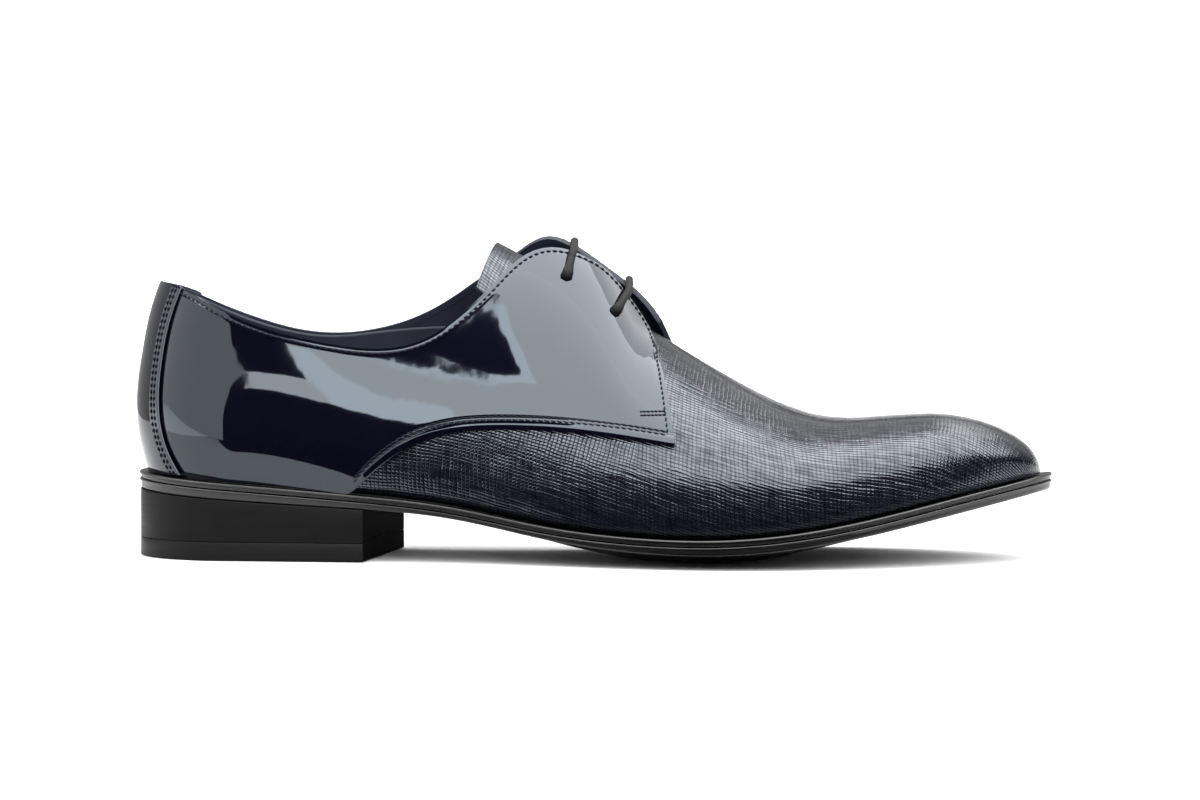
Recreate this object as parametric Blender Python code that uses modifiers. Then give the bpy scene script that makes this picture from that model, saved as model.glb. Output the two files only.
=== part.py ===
"""Plain-toe derby dress shoe for the right foot, standing empty on its heel and forefoot.

Sizes and tables are in millimetres, and MM turns them into metres. x runs from the back of the heel
to the toe, -y is the lateral (outer) side, +y the medial side and +z is up. The outer face of the
upper is one function, wall_point, and every layer of the upper is cut or offset from it.
"""

import math

import bmesh
import bpy
import numpy as np
from mathutils import Vector

MM = 0.001
LATERAL, MEDIAL = -1, 1

# Driving sizes
SOLE_LENGTH = 303.6
HEEL_ROUND = 32.0  # length of the rounded back end of the sole
TOE_ROUND = 104.5  # length of the tapered toe of the sole
TOE_FULLNESS = 2.5  # 2 tapers as an ellipse, more is blunter
UPPER_BACK, UPPER_TIP = 6.4, 299.8  # where the upper meets the welt, behind and in front
UPPER_HEEL_ROUND = 30.0
TOE_BOX_ROUND = 39.2  # length of the rounded front of the toe box

# Thicknesses and gaps
GAP = 0.35  # between pieces that touch
UPPER_WALL = 1.4
QUARTER_WALL = 1.7
QUARTER_GAP = 0.55
STRIP_WALL = 0.9
STRIP_RISE = 0.6  # the back strip ends this far above the collar
STRIP_TOP = 90.0  # height at which the strip's width at its top is read
LAYER_RISE = 1.0  # the layers over the upper stop this far above the welt
TONGUE_WALL = 1.6
TONGUE_GAP = 0.8
INSOLE_THICK = 2.4
INSOLE_INSET = 7.8  # from the sole's edge
WELT_THICK = 2.0
WELT_WIDTH = 9.0
TOP_PIECE_THICK = 6.0
LACE_RADIUS = 1.25
LACE_GAP = 0.6
EYELET_RADIUS = 2.0
EYELET_PIN = 6.8  # length of the pin that cuts an eyelet
LACE_ARCH = 0.4  # rise of a lace bar between the lacing edges
LACE_BEND = 1.9  # radius of a bar's turn out of its hole
LACE_DEPTHS = (3.4, 1.6)  # of the two points of a bar inside its hole
LACE_SHARES = (0.55, 0.95)  # of the way from the hole to the lacing edge
WELD = 0.01  # points closer than this are one

# Places along the shoe
BREAST_LATERAL, BREAST_MEDIAL = 80.0, 84.5  # front of the heel on each side
BREAST_BOW = 1.5  # how far the heel's front curves in at its middle
THROAT_FRONT = 172.0  # front end of the opening in the upper
MOUTH_LIMIT = 0.985  # share of the way up to the ridge that the opening's border keeps below
FACING_FRONT = {LATERAL: 175.0, MEDIAL: 172.5}  # front end of the lacing edge of a quarter
QUARTER_CORNER = {LATERAL: 184.6, MEDIAL: 182.0}  # front lower corner of a quarter
LEAN_BACK = 110.0  # ahead of this the lines up a quarter lean with its front edge
FRONT_BOW = 0.8  # how far a quarter's front edge bows forward at its middle
QUARTER_FOOT = 76.0  # where a quarter's lower edge leaves the sole
TONGUE_FRONT, TONGUE_TOP, TONGUE_TOP_SIDE = 190.0, 121.0, 116.5
EYELETS = (
    # (x, height) of the lateral and the medial hole
    {LATERAL: (145.5, 92.4), MEDIAL: (142.3, 94.6)},
    {LATERAL: (160.9, 81.0), MEDIAL: (160.6, 81.6)},
)
LACE_LEAN = (
    # how far forward a bar runs from its hole to the lacing edge
    {LATERAL: 0.6, MEDIAL: 0.2},
    {LATERAL: 1.7, MEDIAL: 0.2},
)

# Mesh density
UPPER_STATIONS, UPPER_ROWS_LOW, UPPER_ROWS_HIGH = 33, 3, 8
THROAT_STATIONS = (-6.0, -2.5, -0.6, 0.0)  # added sections, from the front of the throat
THROAT_CLEAR = 3.0  # other sections keep this far from them
QUARTER_STATIONS, QUARTER_ROWS = 28, 8
SEAM_SHARE = 0.006  # of the way along the upper at which a quarter starts, under the back strip
SOLE_STATIONS, SOLE_ROWS = 38, 8
RIM_STEP = 0.004  # share of the outline to each side, for its direction
EYELET_SIDES = 12
SHARP_DEGREES = 40.0  # steeper edges aren't shaded smooth

MATERIALS = {
    # name: (colour, roughness, metallic)
    "patent_leather": ((0.006, 0.007, 0.022), 0.06, 0.0),
    "embossed_leather": ((0.010, 0.012, 0.032), 0.28, 0.0),
    "lining_leather": ((0.010, 0.014, 0.028), 0.55, 0.0),
    "black_sole": ((0.010, 0.009, 0.009), 0.35, 0.0),
    "black_rubber": ((0.013, 0.012, 0.012), 0.55, 0.0),
    "waxed_cord": ((0.012, 0.012, 0.014), 0.5, 0.0),
}


class Curve:
    """Natural cubic spline through the rows of a table, level beyond its ends."""

    def __init__(self, at, value):
        self.at, self.value = np.asarray(at, float), np.asarray(value, float)
        step = np.diff(self.at)
        slope = np.diff(self.value) / step
        count = len(self.at)
        system, right = np.eye(count), np.zeros(count)
        for i in range(1, count - 1):
            system[i, i - 1 : i + 2] = step[i - 1], 2 * (step[i - 1] + step[i]), step[i]
            right[i] = 6 * (slope[i] - slope[i - 1])
        self.bend = np.linalg.solve(system, right)

    def __call__(self, x):
        x = min(max(x, self.at[0]), self.at[-1])
        i = min(max(int(np.searchsorted(self.at, x)) - 1, 0), len(self.at) - 2)
        step = self.at[i + 1] - self.at[i]
        a = (self.at[i + 1] - x) / step
        b = 1 - a
        cubic = (a**3 - a) * self.bend[i] + (b**3 - b) * self.bend[i + 1]
        return float(a * self.value[i] + b * self.value[i + 1] + cubic * step * step / 6)


def table(names, *rows):
    """Column name to smooth curve over the first column."""
    data = np.array(rows, float)
    return {name: Curve(data[:, 0], data[:, k]) for k, name in enumerate(names.split()) if k}


# The sole: centre line, half-widths to its edge, height of its top edge, how far its middle hangs
# below the edge, and the thickness of the outsole.
SOLE = table(
    "x     centre lateral medial  edge  crown  thick",
    (0.0, 0.0, 31.5, 31.5, 28.0, 0.0, 3.4),
    (35.0, 0.0, 32.0, 32.0, 25.3, 0.0, 3.2),
    (75.0, 0.0, 32.0, 31.0, 22.2, 0.0, 2.4),
    (110.0, 0.0, 33.5, 27.0, 18.4, 0.8, 1.7),
    (140.0, 0.3, 41.0, 30.5, 13.2, 3.6, 2.0),
    (170.0, 0.8, 49.5, 39.5, 10.3, 6.2, 2.6),
    (200.0, 1.5, 53.5, 48.0, 9.9, 6.3, 2.8),
    (225.0, 2.5, 52.0, 50.5, 12.1, 3.6, 2.9),
    (250.0, 4.0, 48.0, 49.0, 16.7, 1.9, 3.0),
    (275.0, 5.8, 44.0, 45.0, 22.6, 1.0, 3.0),
    (303.6, 8.0, 38.0, 38.0, 28.9, 0.3, 2.8),
)

# The upper's sections: inset of its foot from the sole's edge, bulge of its widest line on each
# side, share of the height at which that lies, ridge height, and fullness of the section's arch.
LAST = table(
    "x     inset lateral_bulge medial_bulge share ridge fullness",
    (0.0, 3.4, 2.4, 2.4, 0.25, 108.0, 2.2),
    (35.0, 3.4, 2.4, 2.4, 0.25, 112.0, 2.2),
    (75.0, 3.2, 2.6, 4.0, 0.25, 115.0, 2.2),
    (100.0, 3.2, 3.6, 7.5, 0.25, 113.5, 2.15),
    (121.0, 3.4, 4.0, 8.5, 0.25, 106.0, 1.9),
    (140.0, 3.8, 3.6, 8.0, 0.25, 95.3, 1.72),
    (158.0, 4.2, 3.0, 6.0, 0.26, 84.0, 1.68),
    (176.0, 4.6, 2.6, 4.2, 0.28, 72.6, 1.8),
    (200.0, 4.8, 2.2, 2.6, 0.31, 58.2, 2.0),
    (214.0, 4.9, 2.0, 2.2, 0.34, 51.2, 2.1),
    (227.0, 5.0, 2.0, 2.0, 0.36, 47.2, 2.15),
    (250.0, 5.0, 2.0, 2.0, 0.38, 47.3, 2.25),
    (275.0, 4.8, 2.0, 2.0, 0.40, 48.5, 2.3),
    (304.5, 4.4, 2.0, 2.0, 0.42, 49.8, 2.3),
)

# Profile of the back of the heel: how far forward it lies at each height.
HEEL_BACK = table(
    "height forward",
    (26.0, 0.4),
    (38.0, -2.8),
    (49.0, -4.0),
    (60.0, -3.2),
    (70.0, -1.6),
    (80.0, 0.5),
    (92.0, 4.6),
)
HEEL_BACK_FADE = (0.0, 62.0)  # the lean dies out towards the waist

# Edges seen from the side: heights of the collar and lacing edge of each quarter.
TOPLINE = table(
    "x     lateral medial",
    (4.0, 89.4, 89.4),
    (12.0, 89.0, 86.6),
    (22.0, 86.4, 82.0),
    (33.0, 81.5, 77.6),
    (46.0, 76.6, 73.8),
    (60.0, 73.0, 72.2),
    (75.0, 70.5, 73.7),
    (88.0, 70.0, 77.6),
    (98.0, 72.0, 82.6),
    (107.0, 76.6, 88.4),
    (115.0, 83.0, 93.8),
    (122.0, 90.1, 98.2),
    (129.0, 97.4, 102.8),
    (135.0, 101.0, 104.8),
    (142.0, 101.5, 102.7),
    (149.0, 99.2, 98.2),
    (156.0, 94.8, 93.1),
    (164.0, 85.1, 86.9),
    (170.0, 76.4, 80.4),
    (175.0, 68.6, 72.4),
)

# Distance of each lacing edge from the middle of the shoe, which makes the quarter stand up there.
FACING = table(
    "x     lateral medial",
    (100.0, 29.7, 26.5),
    (107.0, 29.2, 25.0),
    (115.0, 27.6, 22.2),
    (122.0, 24.57, 19.5),
    (131.0, 18.8, 15.8),
    (141.0, 13.9, 13.0),
    (150.0, 11.2, 11.2),
    (158.0, 9.6, 9.6),
    (166.0, 8.2, 8.2),
    (172.5, 7.0, 7.0),
)
LIFT_BACK, LIFT_FRONT = (84.0, 124.0), (172.0, 183.0)  # where the lift grows and where it dies out
LIFT_EASE = 2.5  # rounds the change from no lift to lift

# Lower edge of a quarter, from where it leaves the sole to its front corner.
LOWER_EDGE = table(
    "x     height",
    (76.0, 23.0),
    (80.0, 27.6),
    (85.6, 32.6),
    (95.6, 39.1),
    (109.6, 43.6),
    (122.0, 44.9),
    (135.0, 45.1),
    (160.0, 43.6),
    (184.2, 40.2),
)

# Border of the opening in the upper, hidden under the quarters.
MOUTH = table(
    "x     lateral medial",
    (4.0, 88.8, 88.8),
    (12.0, 88.4, 86.0),
    (22.0, 85.8, 81.4),
    (33.0, 80.9, 77.0),
    (46.0, 76.0, 73.2),
    (60.0, 72.4, 71.6),
    (75.0, 69.9, 73.0),
    (90.0, 69.6, 74.6),
    (110.0, 72.6, 75.2),
    (135.0, 75.4, 75.6),
    (152.0, 74.6, 74.6),
    (165.0, 72.6, 72.6),
    (172.0, 75.0, 75.0),
)

# Front edge of the back strip, and the half-width of the tongue.
STRIP_EDGE = table(
    "height reach",
    (24.0, 15.6),
    (34.0, 12.0),
    (46.0, 10.2),
    (58.0, 9.7),
    (72.0, 9.6),
    (84.0, 10.2),
    (92.0, 10.6),
)
TONGUE = table("x half_width", (116.0, 23.0), (135.0, 26.0), (155.0, 25.0), (172.0, 21.0), (190.0, 13.0))

# Ribs of the sole's side: share of the layer's thickness, and how proud of the edge.
WELT_RIBS = ((1.0, -0.55), (0.88, -0.05), (0.66, 0.0), (0.5, -0.5), (0.1, -0.55))
OUTSOLE_RIBS = ((1.0, -0.45), (0.9, -0.05), (0.72, -0.05), (0.58, -0.55), (0.16, -0.75), (0.0, -1.5))
PLAIN_RIM = ((1.0, -0.3), (0.9, 0.0), (0.06, 0.0), (0.0, -0.3))
HEEL_INSET = 0.35  # the heel is trimmed this far inside the sole's ribs


def side_name(side):
    return "lateral" if side == LATERAL else "medial"


def along(q, first, last):
    """x at share q of the way from first to last, with points close together at both ends."""
    return first + (last - first) * (1 - math.cos(math.pi * q)) / 2


def smooth_step(x, first, last):
    """0 before first, 1 after last, and smooth between them."""
    t = min(max((x - first) / (last - first), 0), 1)
    return t**3 * (10 - 15 * t + 6 * t * t)


def rounded_ends(x, first, last, heel, toe):
    """Factor that closes a plan outline: 0 at both ends, with round corners of those lengths."""
    back = min((x - first) / heel, 1)
    front = max((x - last + toe) / toe, 0)
    return math.sqrt(max(1 - (1 - back) ** 2, 0)) * math.sqrt(max(1 - front**TOE_FULLNESS, 0))


def section(side, x, lift):
    """Foot height, belly height, ridge height, half-width at foot and belly, and fullness at x."""
    name = side_name(side)
    closing = rounded_ends(x, UPPER_BACK, UPPER_TIP, UPPER_HEEL_ROUND, TOE_ROUND)
    foot_width = (SOLE[name](x) - LAST["inset"](x)) * closing
    belly_width = foot_width + LAST[name + "_bulge"](x) * closing
    nose = max((x - UPPER_TIP + TOE_BOX_ROUND) / TOE_BOX_ROUND, 0)
    foot = SOLE["edge"](x) + GAP
    ridge = foot + (LAST["ridge"](x) - foot) * math.sqrt(max(1 - nose**2, 0))
    belly = foot + (ridge - foot) * LAST["share"](x)
    fullness = LAST["fullness"](x)
    if lift:
        edge = (FACING[name](x) + side * SOLE["centre"](x)) / max(belly_width, FACING[name](x) + 1)
        arch = (1 - edge**fullness) ** (1 / fullness)
        raised = belly + (TOPLINE[name](x) - belly) / arch
        above = raised - ridge
        lifted = (above + math.hypot(above, LIFT_EASE)) / 2
        ridge += lifted * smooth_step(x, *LIFT_BACK) * (1 - smooth_step(x, *LIFT_FRONT))
    return foot, belly, ridge, foot_width, belly_width, fullness


def place(side, x, half_width, height):
    """Point of the upper's outer face, leaned with the heel's back."""
    lean = HEEL_BACK["forward"](height) * (1 - smooth_step(x, *HEEL_BACK_FADE))
    return Vector((x + lean, SOLE["centre"](x) + side * half_width, height))


def wall_point(side, x, rise, lift=False):
    """Outer face at x: rise runs from -1 at the foot through 0 at the belly to 1 at the ridge."""
    foot, belly, ridge, foot_width, belly_width, fullness = section(side, x, lift)
    if rise < 0:
        half_width = belly_width - (belly_width - foot_width) * (-rise) ** 3
        return place(side, x, half_width, belly + (belly - foot) * rise)
    angle = rise * math.pi / 2
    half_width = belly_width * max(math.cos(angle), 0) ** (2 / fullness)
    return place(side, x, half_width, belly + (ridge - belly) * math.sin(angle) ** (2 / fullness))


def rise_at(side, x, height, lift=False):
    """The rise at which the outer face has that height."""
    foot, belly, ridge, _, _, fullness = section(side, x, lift)
    if height < belly:
        return max((height - belly) / (belly - foot), -1)
    share = min((height - belly) / max(ridge - belly, 1e-6), 1)
    return math.asin(share ** (fullness / 2)) * 2 / math.pi


def face_at(side, x, height, out):
    """Point of a quarter's form at that height, moved outwards, and the direction out of it."""
    step = 0.5  # to each side, for the slopes

    def at(dx, dz):
        return wall_point(side, x + dx, rise_at(side, x + dx, height + dz, True), True)

    forward = at(step, 0) - at(-step, 0)
    upward = at(0, step) - at(0, -step)
    normal = upward.cross(forward).normalized() * side
    return at(0, 0) + normal * out, normal


def material(name):
    made = bpy.data.materials.get(name) or bpy.data.materials.new(name)
    colour, roughness, metallic = MATERIALS[name]
    made.use_nodes = True
    shader = made.node_tree.nodes["Principled BSDF"]
    shader.inputs["Base Color"].default_value = (*colour, 1)
    shader.inputs["Roughness"].default_value = roughness
    shader.inputs["Metallic"].default_value = metallic
    return made


def add_object(name, data, collection, material_name=None):
    made = bpy.data.objects.new(name, data)
    collection.objects.link(made)
    if material_name:
        data.materials.append(material(material_name))
    return made


def finish_mesh(name, form, collection, material_name):
    """Welds a bmesh in millimetres and makes it an object in metres."""
    bmesh.ops.remove_doubles(form, verts=form.verts, dist=WELD)
    bmesh.ops.scale(form, vec=(MM, MM, MM), verts=form.verts)
    mesh = bpy.data.meshes.new(name)
    form.to_mesh(mesh)
    form.free()
    mesh.shade_smooth()
    mesh.set_sharp_from_angle(angle=math.radians(SHARP_DEGREES))
    return add_object(name, mesh, collection, material_name)


def grid_surface(grid):
    """Open surface through columns of points from bottom to top, right to left as seen from outside."""
    form = bmesh.new()
    columns = [[form.verts.new(point) for point in column] for column in grid]
    for left, right in zip(columns, columns[1:]):
        for j in range(len(left) - 1):
            form.faces.new((left[j], left[j + 1], right[j + 1], right[j]))
    bmesh.ops.remove_doubles(form, verts=form.verts, dist=WELD)
    form.normal_update()
    return form


def shell(name, grid, offset, thickness, collection, material_name):
    """A layer of the upper: a surface moved out by offset and thickened outwards, or inwards if below 0."""
    form = grid_surface(grid)
    moved = [(vert, vert.co + vert.normal * offset) for vert in form.verts]
    for vert, co in moved:
        vert.co = co
    made = finish_mesh(name, form, collection, material_name)
    solid = made.modifiers.new("wall", "SOLIDIFY")
    solid.thickness = abs(thickness) * MM
    solid.offset = math.copysign(1, thickness)
    solid.use_even_offset = True
    return made


def loft(name, loops, collection, material_name):
    """Closed solid through loops of equal length. End loops that aren't a line or a point get a cap."""
    form = bmesh.new()
    rings = [[form.verts.new(point) for point in loop] for loop in loops]
    for first, second in zip(rings, rings[1:]):
        for k in range(len(first)):
            n = (k + 1) % len(first)
            form.faces.new((first[k], first[n], second[n], second[k]))
    bmesh.ops.remove_doubles(form, verts=form.verts, dist=WELD)
    bmesh.ops.holes_fill(form, edges=[e for e in form.edges if e.is_boundary], sides=0)
    bmesh.ops.recalc_face_normals(form, faces=form.faces)
    return finish_mesh(name, form, collection, material_name)


def sole_edge(side, q):
    """Point of the sole's plan outline, q from 0 at the heel to 1 at the toe, on past either end."""
    if q < 0 or q > 1:
        side, q = -side, -q if q < 0 else 2 - q
    x = along(q, 0, SOLE_LENGTH)
    width = SOLE[side_name(side)](x) * rounded_ends(x, 0, SOLE_LENGTH, HEEL_ROUND, TOE_ROUND)
    return Vector((x, SOLE["centre"](x) + side * width, 0))


def sole_rim(side, q, proud):
    """The outline moved outwards in plan."""
    run = (sole_edge(side, q + RIM_STEP) - sole_edge(side, q - RIM_STEP)).normalized()
    return sole_edge(side, q) + Vector((-run.y, run.x, 0)) * side * proud


def sole_q(x):
    """The q at which the outline has that x."""
    return math.acos(1 - 2 * min(max(x / SOLE_LENGTH, 0), 1)) / math.pi


def sole_top(x, y):
    """Height of the welt's top face: level at the sole's edges and sagging between them."""
    off_centre = y - SOLE["centre"](x)
    side = MEDIAL if off_centre > 0 else LATERAL
    half_width = SOLE[side_name(side)](x) * rounded_ends(x, 0, SOLE_LENGTH, HEEL_ROUND, TOE_ROUND)
    across = min(abs(off_centre) / max(half_width, 0.1), 1)
    return SOLE["edge"](x) - SOLE["crown"](x) * (1 - across**2) ** 2


def outsole_top(x, y):
    return sole_top(x, y) - WELT_THICK - GAP


def outsole_bottom(x, y):
    """The crown of the forefoot is flat where it meets the floor."""
    return max(outsole_top(x, y) - SOLE["thick"](x), 0)


def plate_section(ends, ribs, top, bottom, rows):
    """Loop of points round a plate between two edge functions, each taking how proud the rim is."""
    lateral, medial = ends

    def face(proud, height):
        points = [lateral(proud).lerp(medial(proud), k / rows) for k in range(rows + 1)]
        return [Vector((p.x, p.y, height(p.x, p.y))) for p in points]

    def rim(edge):
        points = []
        for share, proud in ribs[1:-1]:
            p = edge(proud)
            low, high = bottom(p.x, p.y), top(p.x, p.y)
            points.append(Vector((p.x, p.y, low + (high - low) * share)))
        return points

    over, below = face(ribs[0][1], top), face(ribs[-1][1], bottom)
    return over + rim(medial) + below[::-1] + rim(lateral)[::-1]


def make_outsole(collection):
    loops = []
    for i in range(SOLE_STATIONS + 1):
        q = i / SOLE_STATIONS
        ends = [lambda proud, side=side, q=q: sole_rim(side, q, proud) for side in (LATERAL, MEDIAL)]
        loops.append(plate_section(ends, OUTSOLE_RIBS, outsole_top, outsole_bottom, SOLE_ROWS))
    return loft("outsole", loops, collection, "black_sole")


def make_welt(collection):
    """A strip all round the sole's edge, ribbed outside."""
    loops = []
    turns = [(LATERAL, i / SOLE_STATIONS) for i in range(SOLE_STATIONS)]
    turns += [(MEDIAL, 1 - i / SOLE_STATIONS) for i in range(SOLE_STATIONS)]
    for side, q in turns:
        loop = []
        for share, proud in (*WELT_RIBS, (0.0, -WELT_WIDTH), (1.0, -WELT_WIDTH)):
            p = sole_rim(side, q, proud)
            loop.append(Vector((p.x, p.y, sole_top(p.x, p.y) - WELT_THICK * (1 - share))))
        loops.append(loop)
    return loft("welt", [*loops, loops[0]], collection, "black_sole")


def make_insole(collection):
    """The footbed, lying on the welt inside the upper."""
    stations, rows = 22, 6

    def bottom(x, y):
        return sole_top(x, y) + GAP

    def top(x, y):
        return bottom(x, y) + INSOLE_THICK

    loops = []
    for i in range(stations + 1):

        def edge(side, proud, q=i / stations):
            return sole_rim(side, q, proud - INSOLE_INSET)

        ends = [lambda proud, side=side, edge=edge: edge(side, proud) for side in (LATERAL, MEDIAL)]
        loops.append(plate_section(ends, PLAIN_RIM, top, bottom, rows))
    return loft("insole", loops, collection, "lining_leather")


def heel_loops(top, bottom):
    """Sections of the heel from its back to its skewed, hollow front."""
    stations, rows = 15, 6
    fronts = {LATERAL: sole_q(BREAST_LATERAL), MEDIAL: sole_q(BREAST_MEDIAL)}
    loops = []
    for i in range(stations + 1):
        share = i / stations

        def edge(side, proud, share=share):
            return sole_rim(side, fronts[side] * share, proud - HEEL_INSET)

        ends = [lambda proud, side=side: edge(side, proud) for side in (LATERAL, MEDIAL)]
        loop = plate_section(ends, PLAIN_RIM, top, bottom, rows)
        for point in loop:
            across = min(abs(point.y) / SOLE["lateral"](point.x), 1)
            point.x -= BREAST_BOW * share**4 * (1 - across**2)
        loops.append(loop)
    return loops


def make_heel(collection):
    def seat(x, y):
        return outsole_bottom(x, y) - GAP

    def block_bottom(x, y):
        return TOP_PIECE_THICK + GAP

    def lift_top(x, y):
        return TOP_PIECE_THICK

    def floor(x, y):
        return 0.0

    loft("heel_block", heel_loops(seat, block_bottom), collection, "black_sole")
    loft("heel_top_piece", heel_loops(lift_top, floor), collection, "black_rubber")


def upper_stations():
    """x of each section, close at both ends, with more round the front of the throat."""
    regular = [along(i / UPPER_STATIONS, UPPER_BACK, UPPER_TIP) for i in range(UPPER_STATIONS + 1)]
    throat = [THROAT_FRONT + d for d in THROAT_STATIONS]
    kept = [x for x in regular if min(abs(x - t) for t in throat) > THROAT_CLEAR]
    return sorted(kept + throat)


def upper_column(side, x):
    """One section of the upper, from its foot to the border of its opening or to the ridge."""
    top = 1.0
    if x < THROAT_FRONT:
        top = min(rise_at(side, x, MOUTH[side_name(side)](x)), MOUTH_LIMIT)
    low = [wall_point(side, x, -1 + j / UPPER_ROWS_LOW) for j in range(UPPER_ROWS_LOW)]
    return low + [wall_point(side, x, top * j / UPPER_ROWS_HIGH) for j in range(UPPER_ROWS_HIGH + 1)]


def make_upper(collection):
    stations = upper_stations()
    grid = [upper_column(LATERAL, x) for x in reversed(stations)]
    grid += [upper_column(MEDIAL, x) for x in stations[1:]]
    return shell("upper", grid, 0.0, -UPPER_WALL, collection, "embossed_leather")


def quarter_low(side, x):
    """Height of a quarter's lower edge."""
    foot = wall_point(side, x, -1).z + LAYER_RISE
    return max(LOWER_EDGE["height"](x), foot) if x > QUARTER_FOOT else foot


def quarter_column(side, q):
    """One line of points up a quarter. Towards the front the lines lean with its front edge."""
    x_top = along(q, UPPER_BACK, UPPER_TIP)
    lean = max((x_top - LEAN_BACK) / (FACING_FRONT[side] - LEAN_BACK), 0) ** 2
    x_low = x_top + (QUARTER_CORNER[side] - FACING_FRONT[side]) * lean
    low, high = quarter_low(side, x_low), TOPLINE[side_name(side)](x_top)
    column = []
    for j in range(QUARTER_ROWS + 1):
        share = j / QUARTER_ROWS
        x = x_low + (x_top - x_low) * share + FRONT_BOW * lean * 4 * share * (1 - share)
        height = low + (high - low) * share
        column.append(wall_point(side, x, rise_at(side, x, height, True), True))
    return column


def make_quarter(side, collection, cutters):
    name = "quarter_" + side_name(side)
    span = (FACING_FRONT[side] - UPPER_BACK) / (UPPER_TIP - UPPER_BACK)
    q_front = math.acos(1 - 2 * span) / math.pi
    run = q_front - SEAM_SHARE
    steps = [SEAM_SHARE + run * i / QUARTER_STATIONS for i in range(QUARTER_STATIONS + 1)]
    grid = [quarter_column(side, q) for q in steps]
    if side == LATERAL:
        grid.reverse()
    made = shell(name, grid, QUARTER_GAP, QUARTER_WALL, collection, "patent_leather")
    for number, pair in enumerate(EYELETS):
        hole = made.modifiers.new("eyelet", "BOOLEAN")
        hole.operation = "DIFFERENCE"
        hole.object = eyelet_cutter(f"{name}_eyelet_{number}", side, *pair[side], cutters)
    return made


def eyelet_cutter(name, side, x, height, cutters):
    """A pin through the quarter at an eyelet."""
    centre, normal = face_at(side, x, height, QUARTER_GAP + QUARTER_WALL / 2)
    form = bmesh.new()
    bmesh.ops.create_cone(
        form,
        cap_ends=True,
        segments=EYELET_SIDES,
        radius1=EYELET_RADIUS * MM,
        radius2=EYELET_RADIUS * MM,
        depth=EYELET_PIN * MM,
    )
    mesh = bpy.data.meshes.new(name)
    form.to_mesh(mesh)
    form.free()
    pin = add_object(name, mesh, cutters)
    pin.location = centre * MM
    pin.rotation_euler = normal.to_track_quat("Z", "Y").to_euler()
    pin.hide_render = True
    pin.display_type = "WIRE"
    return pin


def make_back_strip(collection):
    """The strip over the back seam, on top of both quarters."""
    columns, rows = 12, 9
    grid = []
    for i in range(columns + 1):
        spread = 2 * i / columns - 1
        side = MEDIAL if spread > 0 else LATERAL
        column = []
        foot = wall_point(side, UPPER_BACK, -1).z + LAYER_RISE
        top = TOPLINE[side_name(side)](UPPER_BACK + STRIP_EDGE["reach"](STRIP_TOP) * spread**2) + STRIP_RISE
        for j in range(rows + 1):
            height = foot + (top - foot) * j / rows
            x = UPPER_BACK + STRIP_EDGE["reach"](height) * spread**2
            column.append(wall_point(side, x, rise_at(side, x, height)))
        grid.append(column)
    offset = QUARTER_GAP + QUARTER_WALL + GAP
    return shell("back_strip", grid, offset, STRIP_WALL, collection, "patent_leather")


def make_tongue(collection):
    """Lies under the throat, from inside the vamp to above the collar."""
    columns, rows = 12, 12
    grid = []
    for i in range(columns + 1):
        spread = 2 * i / columns - 1
        side = MEDIAL if spread > 0 else LATERAL
        x_top = TONGUE_TOP + (TONGUE_TOP_SIDE - TONGUE_TOP) * spread**2
        column = []
        for j in range(rows + 1):
            x = x_top + (TONGUE_FRONT - x_top) * j / rows
            belly_width = section(side, x, False)[4]
            half_width = abs(spread) * TONGUE["half_width"](x)
            arch = min(half_width / belly_width, 1) ** (LAST["fullness"](x) / 2)
            column.append(wall_point(side, x, math.acos(arch) * 2 / math.pi))
        grid.append(column)
    offset = -(UPPER_WALL + TONGUE_GAP)
    return shell("tongue", grid, offset, -TONGUE_WALL, collection, "embossed_leather")


def smooth_route(points, per_span):
    """Points along a smooth curve through the given ones."""
    ends = [2 * points[0] - points[1], *points, 2 * points[-1] - points[-2]]
    made = []
    for a, b, c, d in zip(ends, ends[1:], ends[2:], ends[3:]):
        for k in range(per_span):
            t = k / per_span
            square, cube = 2 * a - 5 * b + 4 * c - d, 3 * (b - c) + d - a
            made.append((2 * b + (c - a) * t + square * t**2 + cube * t**3) / 2)
    return [*made, points[-1]]


def lace_half(side, x, height, lean):
    """Route of a lace bar on one side, from inside its eyelet to over the lacing edge."""
    outer = QUARTER_GAP + QUARTER_WALL
    clear = LACE_RADIUS + LACE_GAP
    eyelet, normal = face_at(side, x, height, outer)
    edge_height = TOPLINE[side_name(side)](x + lean)
    toward_edge = (face_at(side, x + lean, edge_height, outer)[0] - eyelet).normalized()
    route = [eyelet - normal * depth for depth in LACE_DEPTHS]
    for degrees in (0, 45, 90):
        turn = math.radians(degrees)
        along_face, off_face = LACE_BEND * (1 - math.cos(turn)), LACE_BEND * math.sin(turn)
        route.append(eyelet + toward_edge * along_face + normal * (off_face + clear - LACE_BEND))
    for share in LACE_SHARES:
        over = height + (edge_height - height) * share
        route.append(face_at(side, x + lean * share, over, outer + clear)[0])
    return route


def make_lace_bar(name, pair, lean, collection):
    lateral, medial = (lace_half(side, *pair[side], lean[side]) for side in (LATERAL, MEDIAL))
    crest = (lateral[-1] + medial[-1]) / 2 + Vector((0, 0, LACE_ARCH))
    route = smooth_route([*lateral, crest, *medial[::-1]], 2)
    data = bpy.data.curves.new(name, "CURVE")
    data.dimensions = "3D"
    data.bevel_depth = LACE_RADIUS * MM
    data.bevel_resolution = 2
    data.use_fill_caps = True
    spline = data.splines.new("POLY")
    spline.points.add(len(route) - 1)
    for point, place_at in zip(spline.points, route):
        point.co = (*(place_at * MM), 1)
    return add_object(name, data, collection, "waxed_cord")


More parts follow.
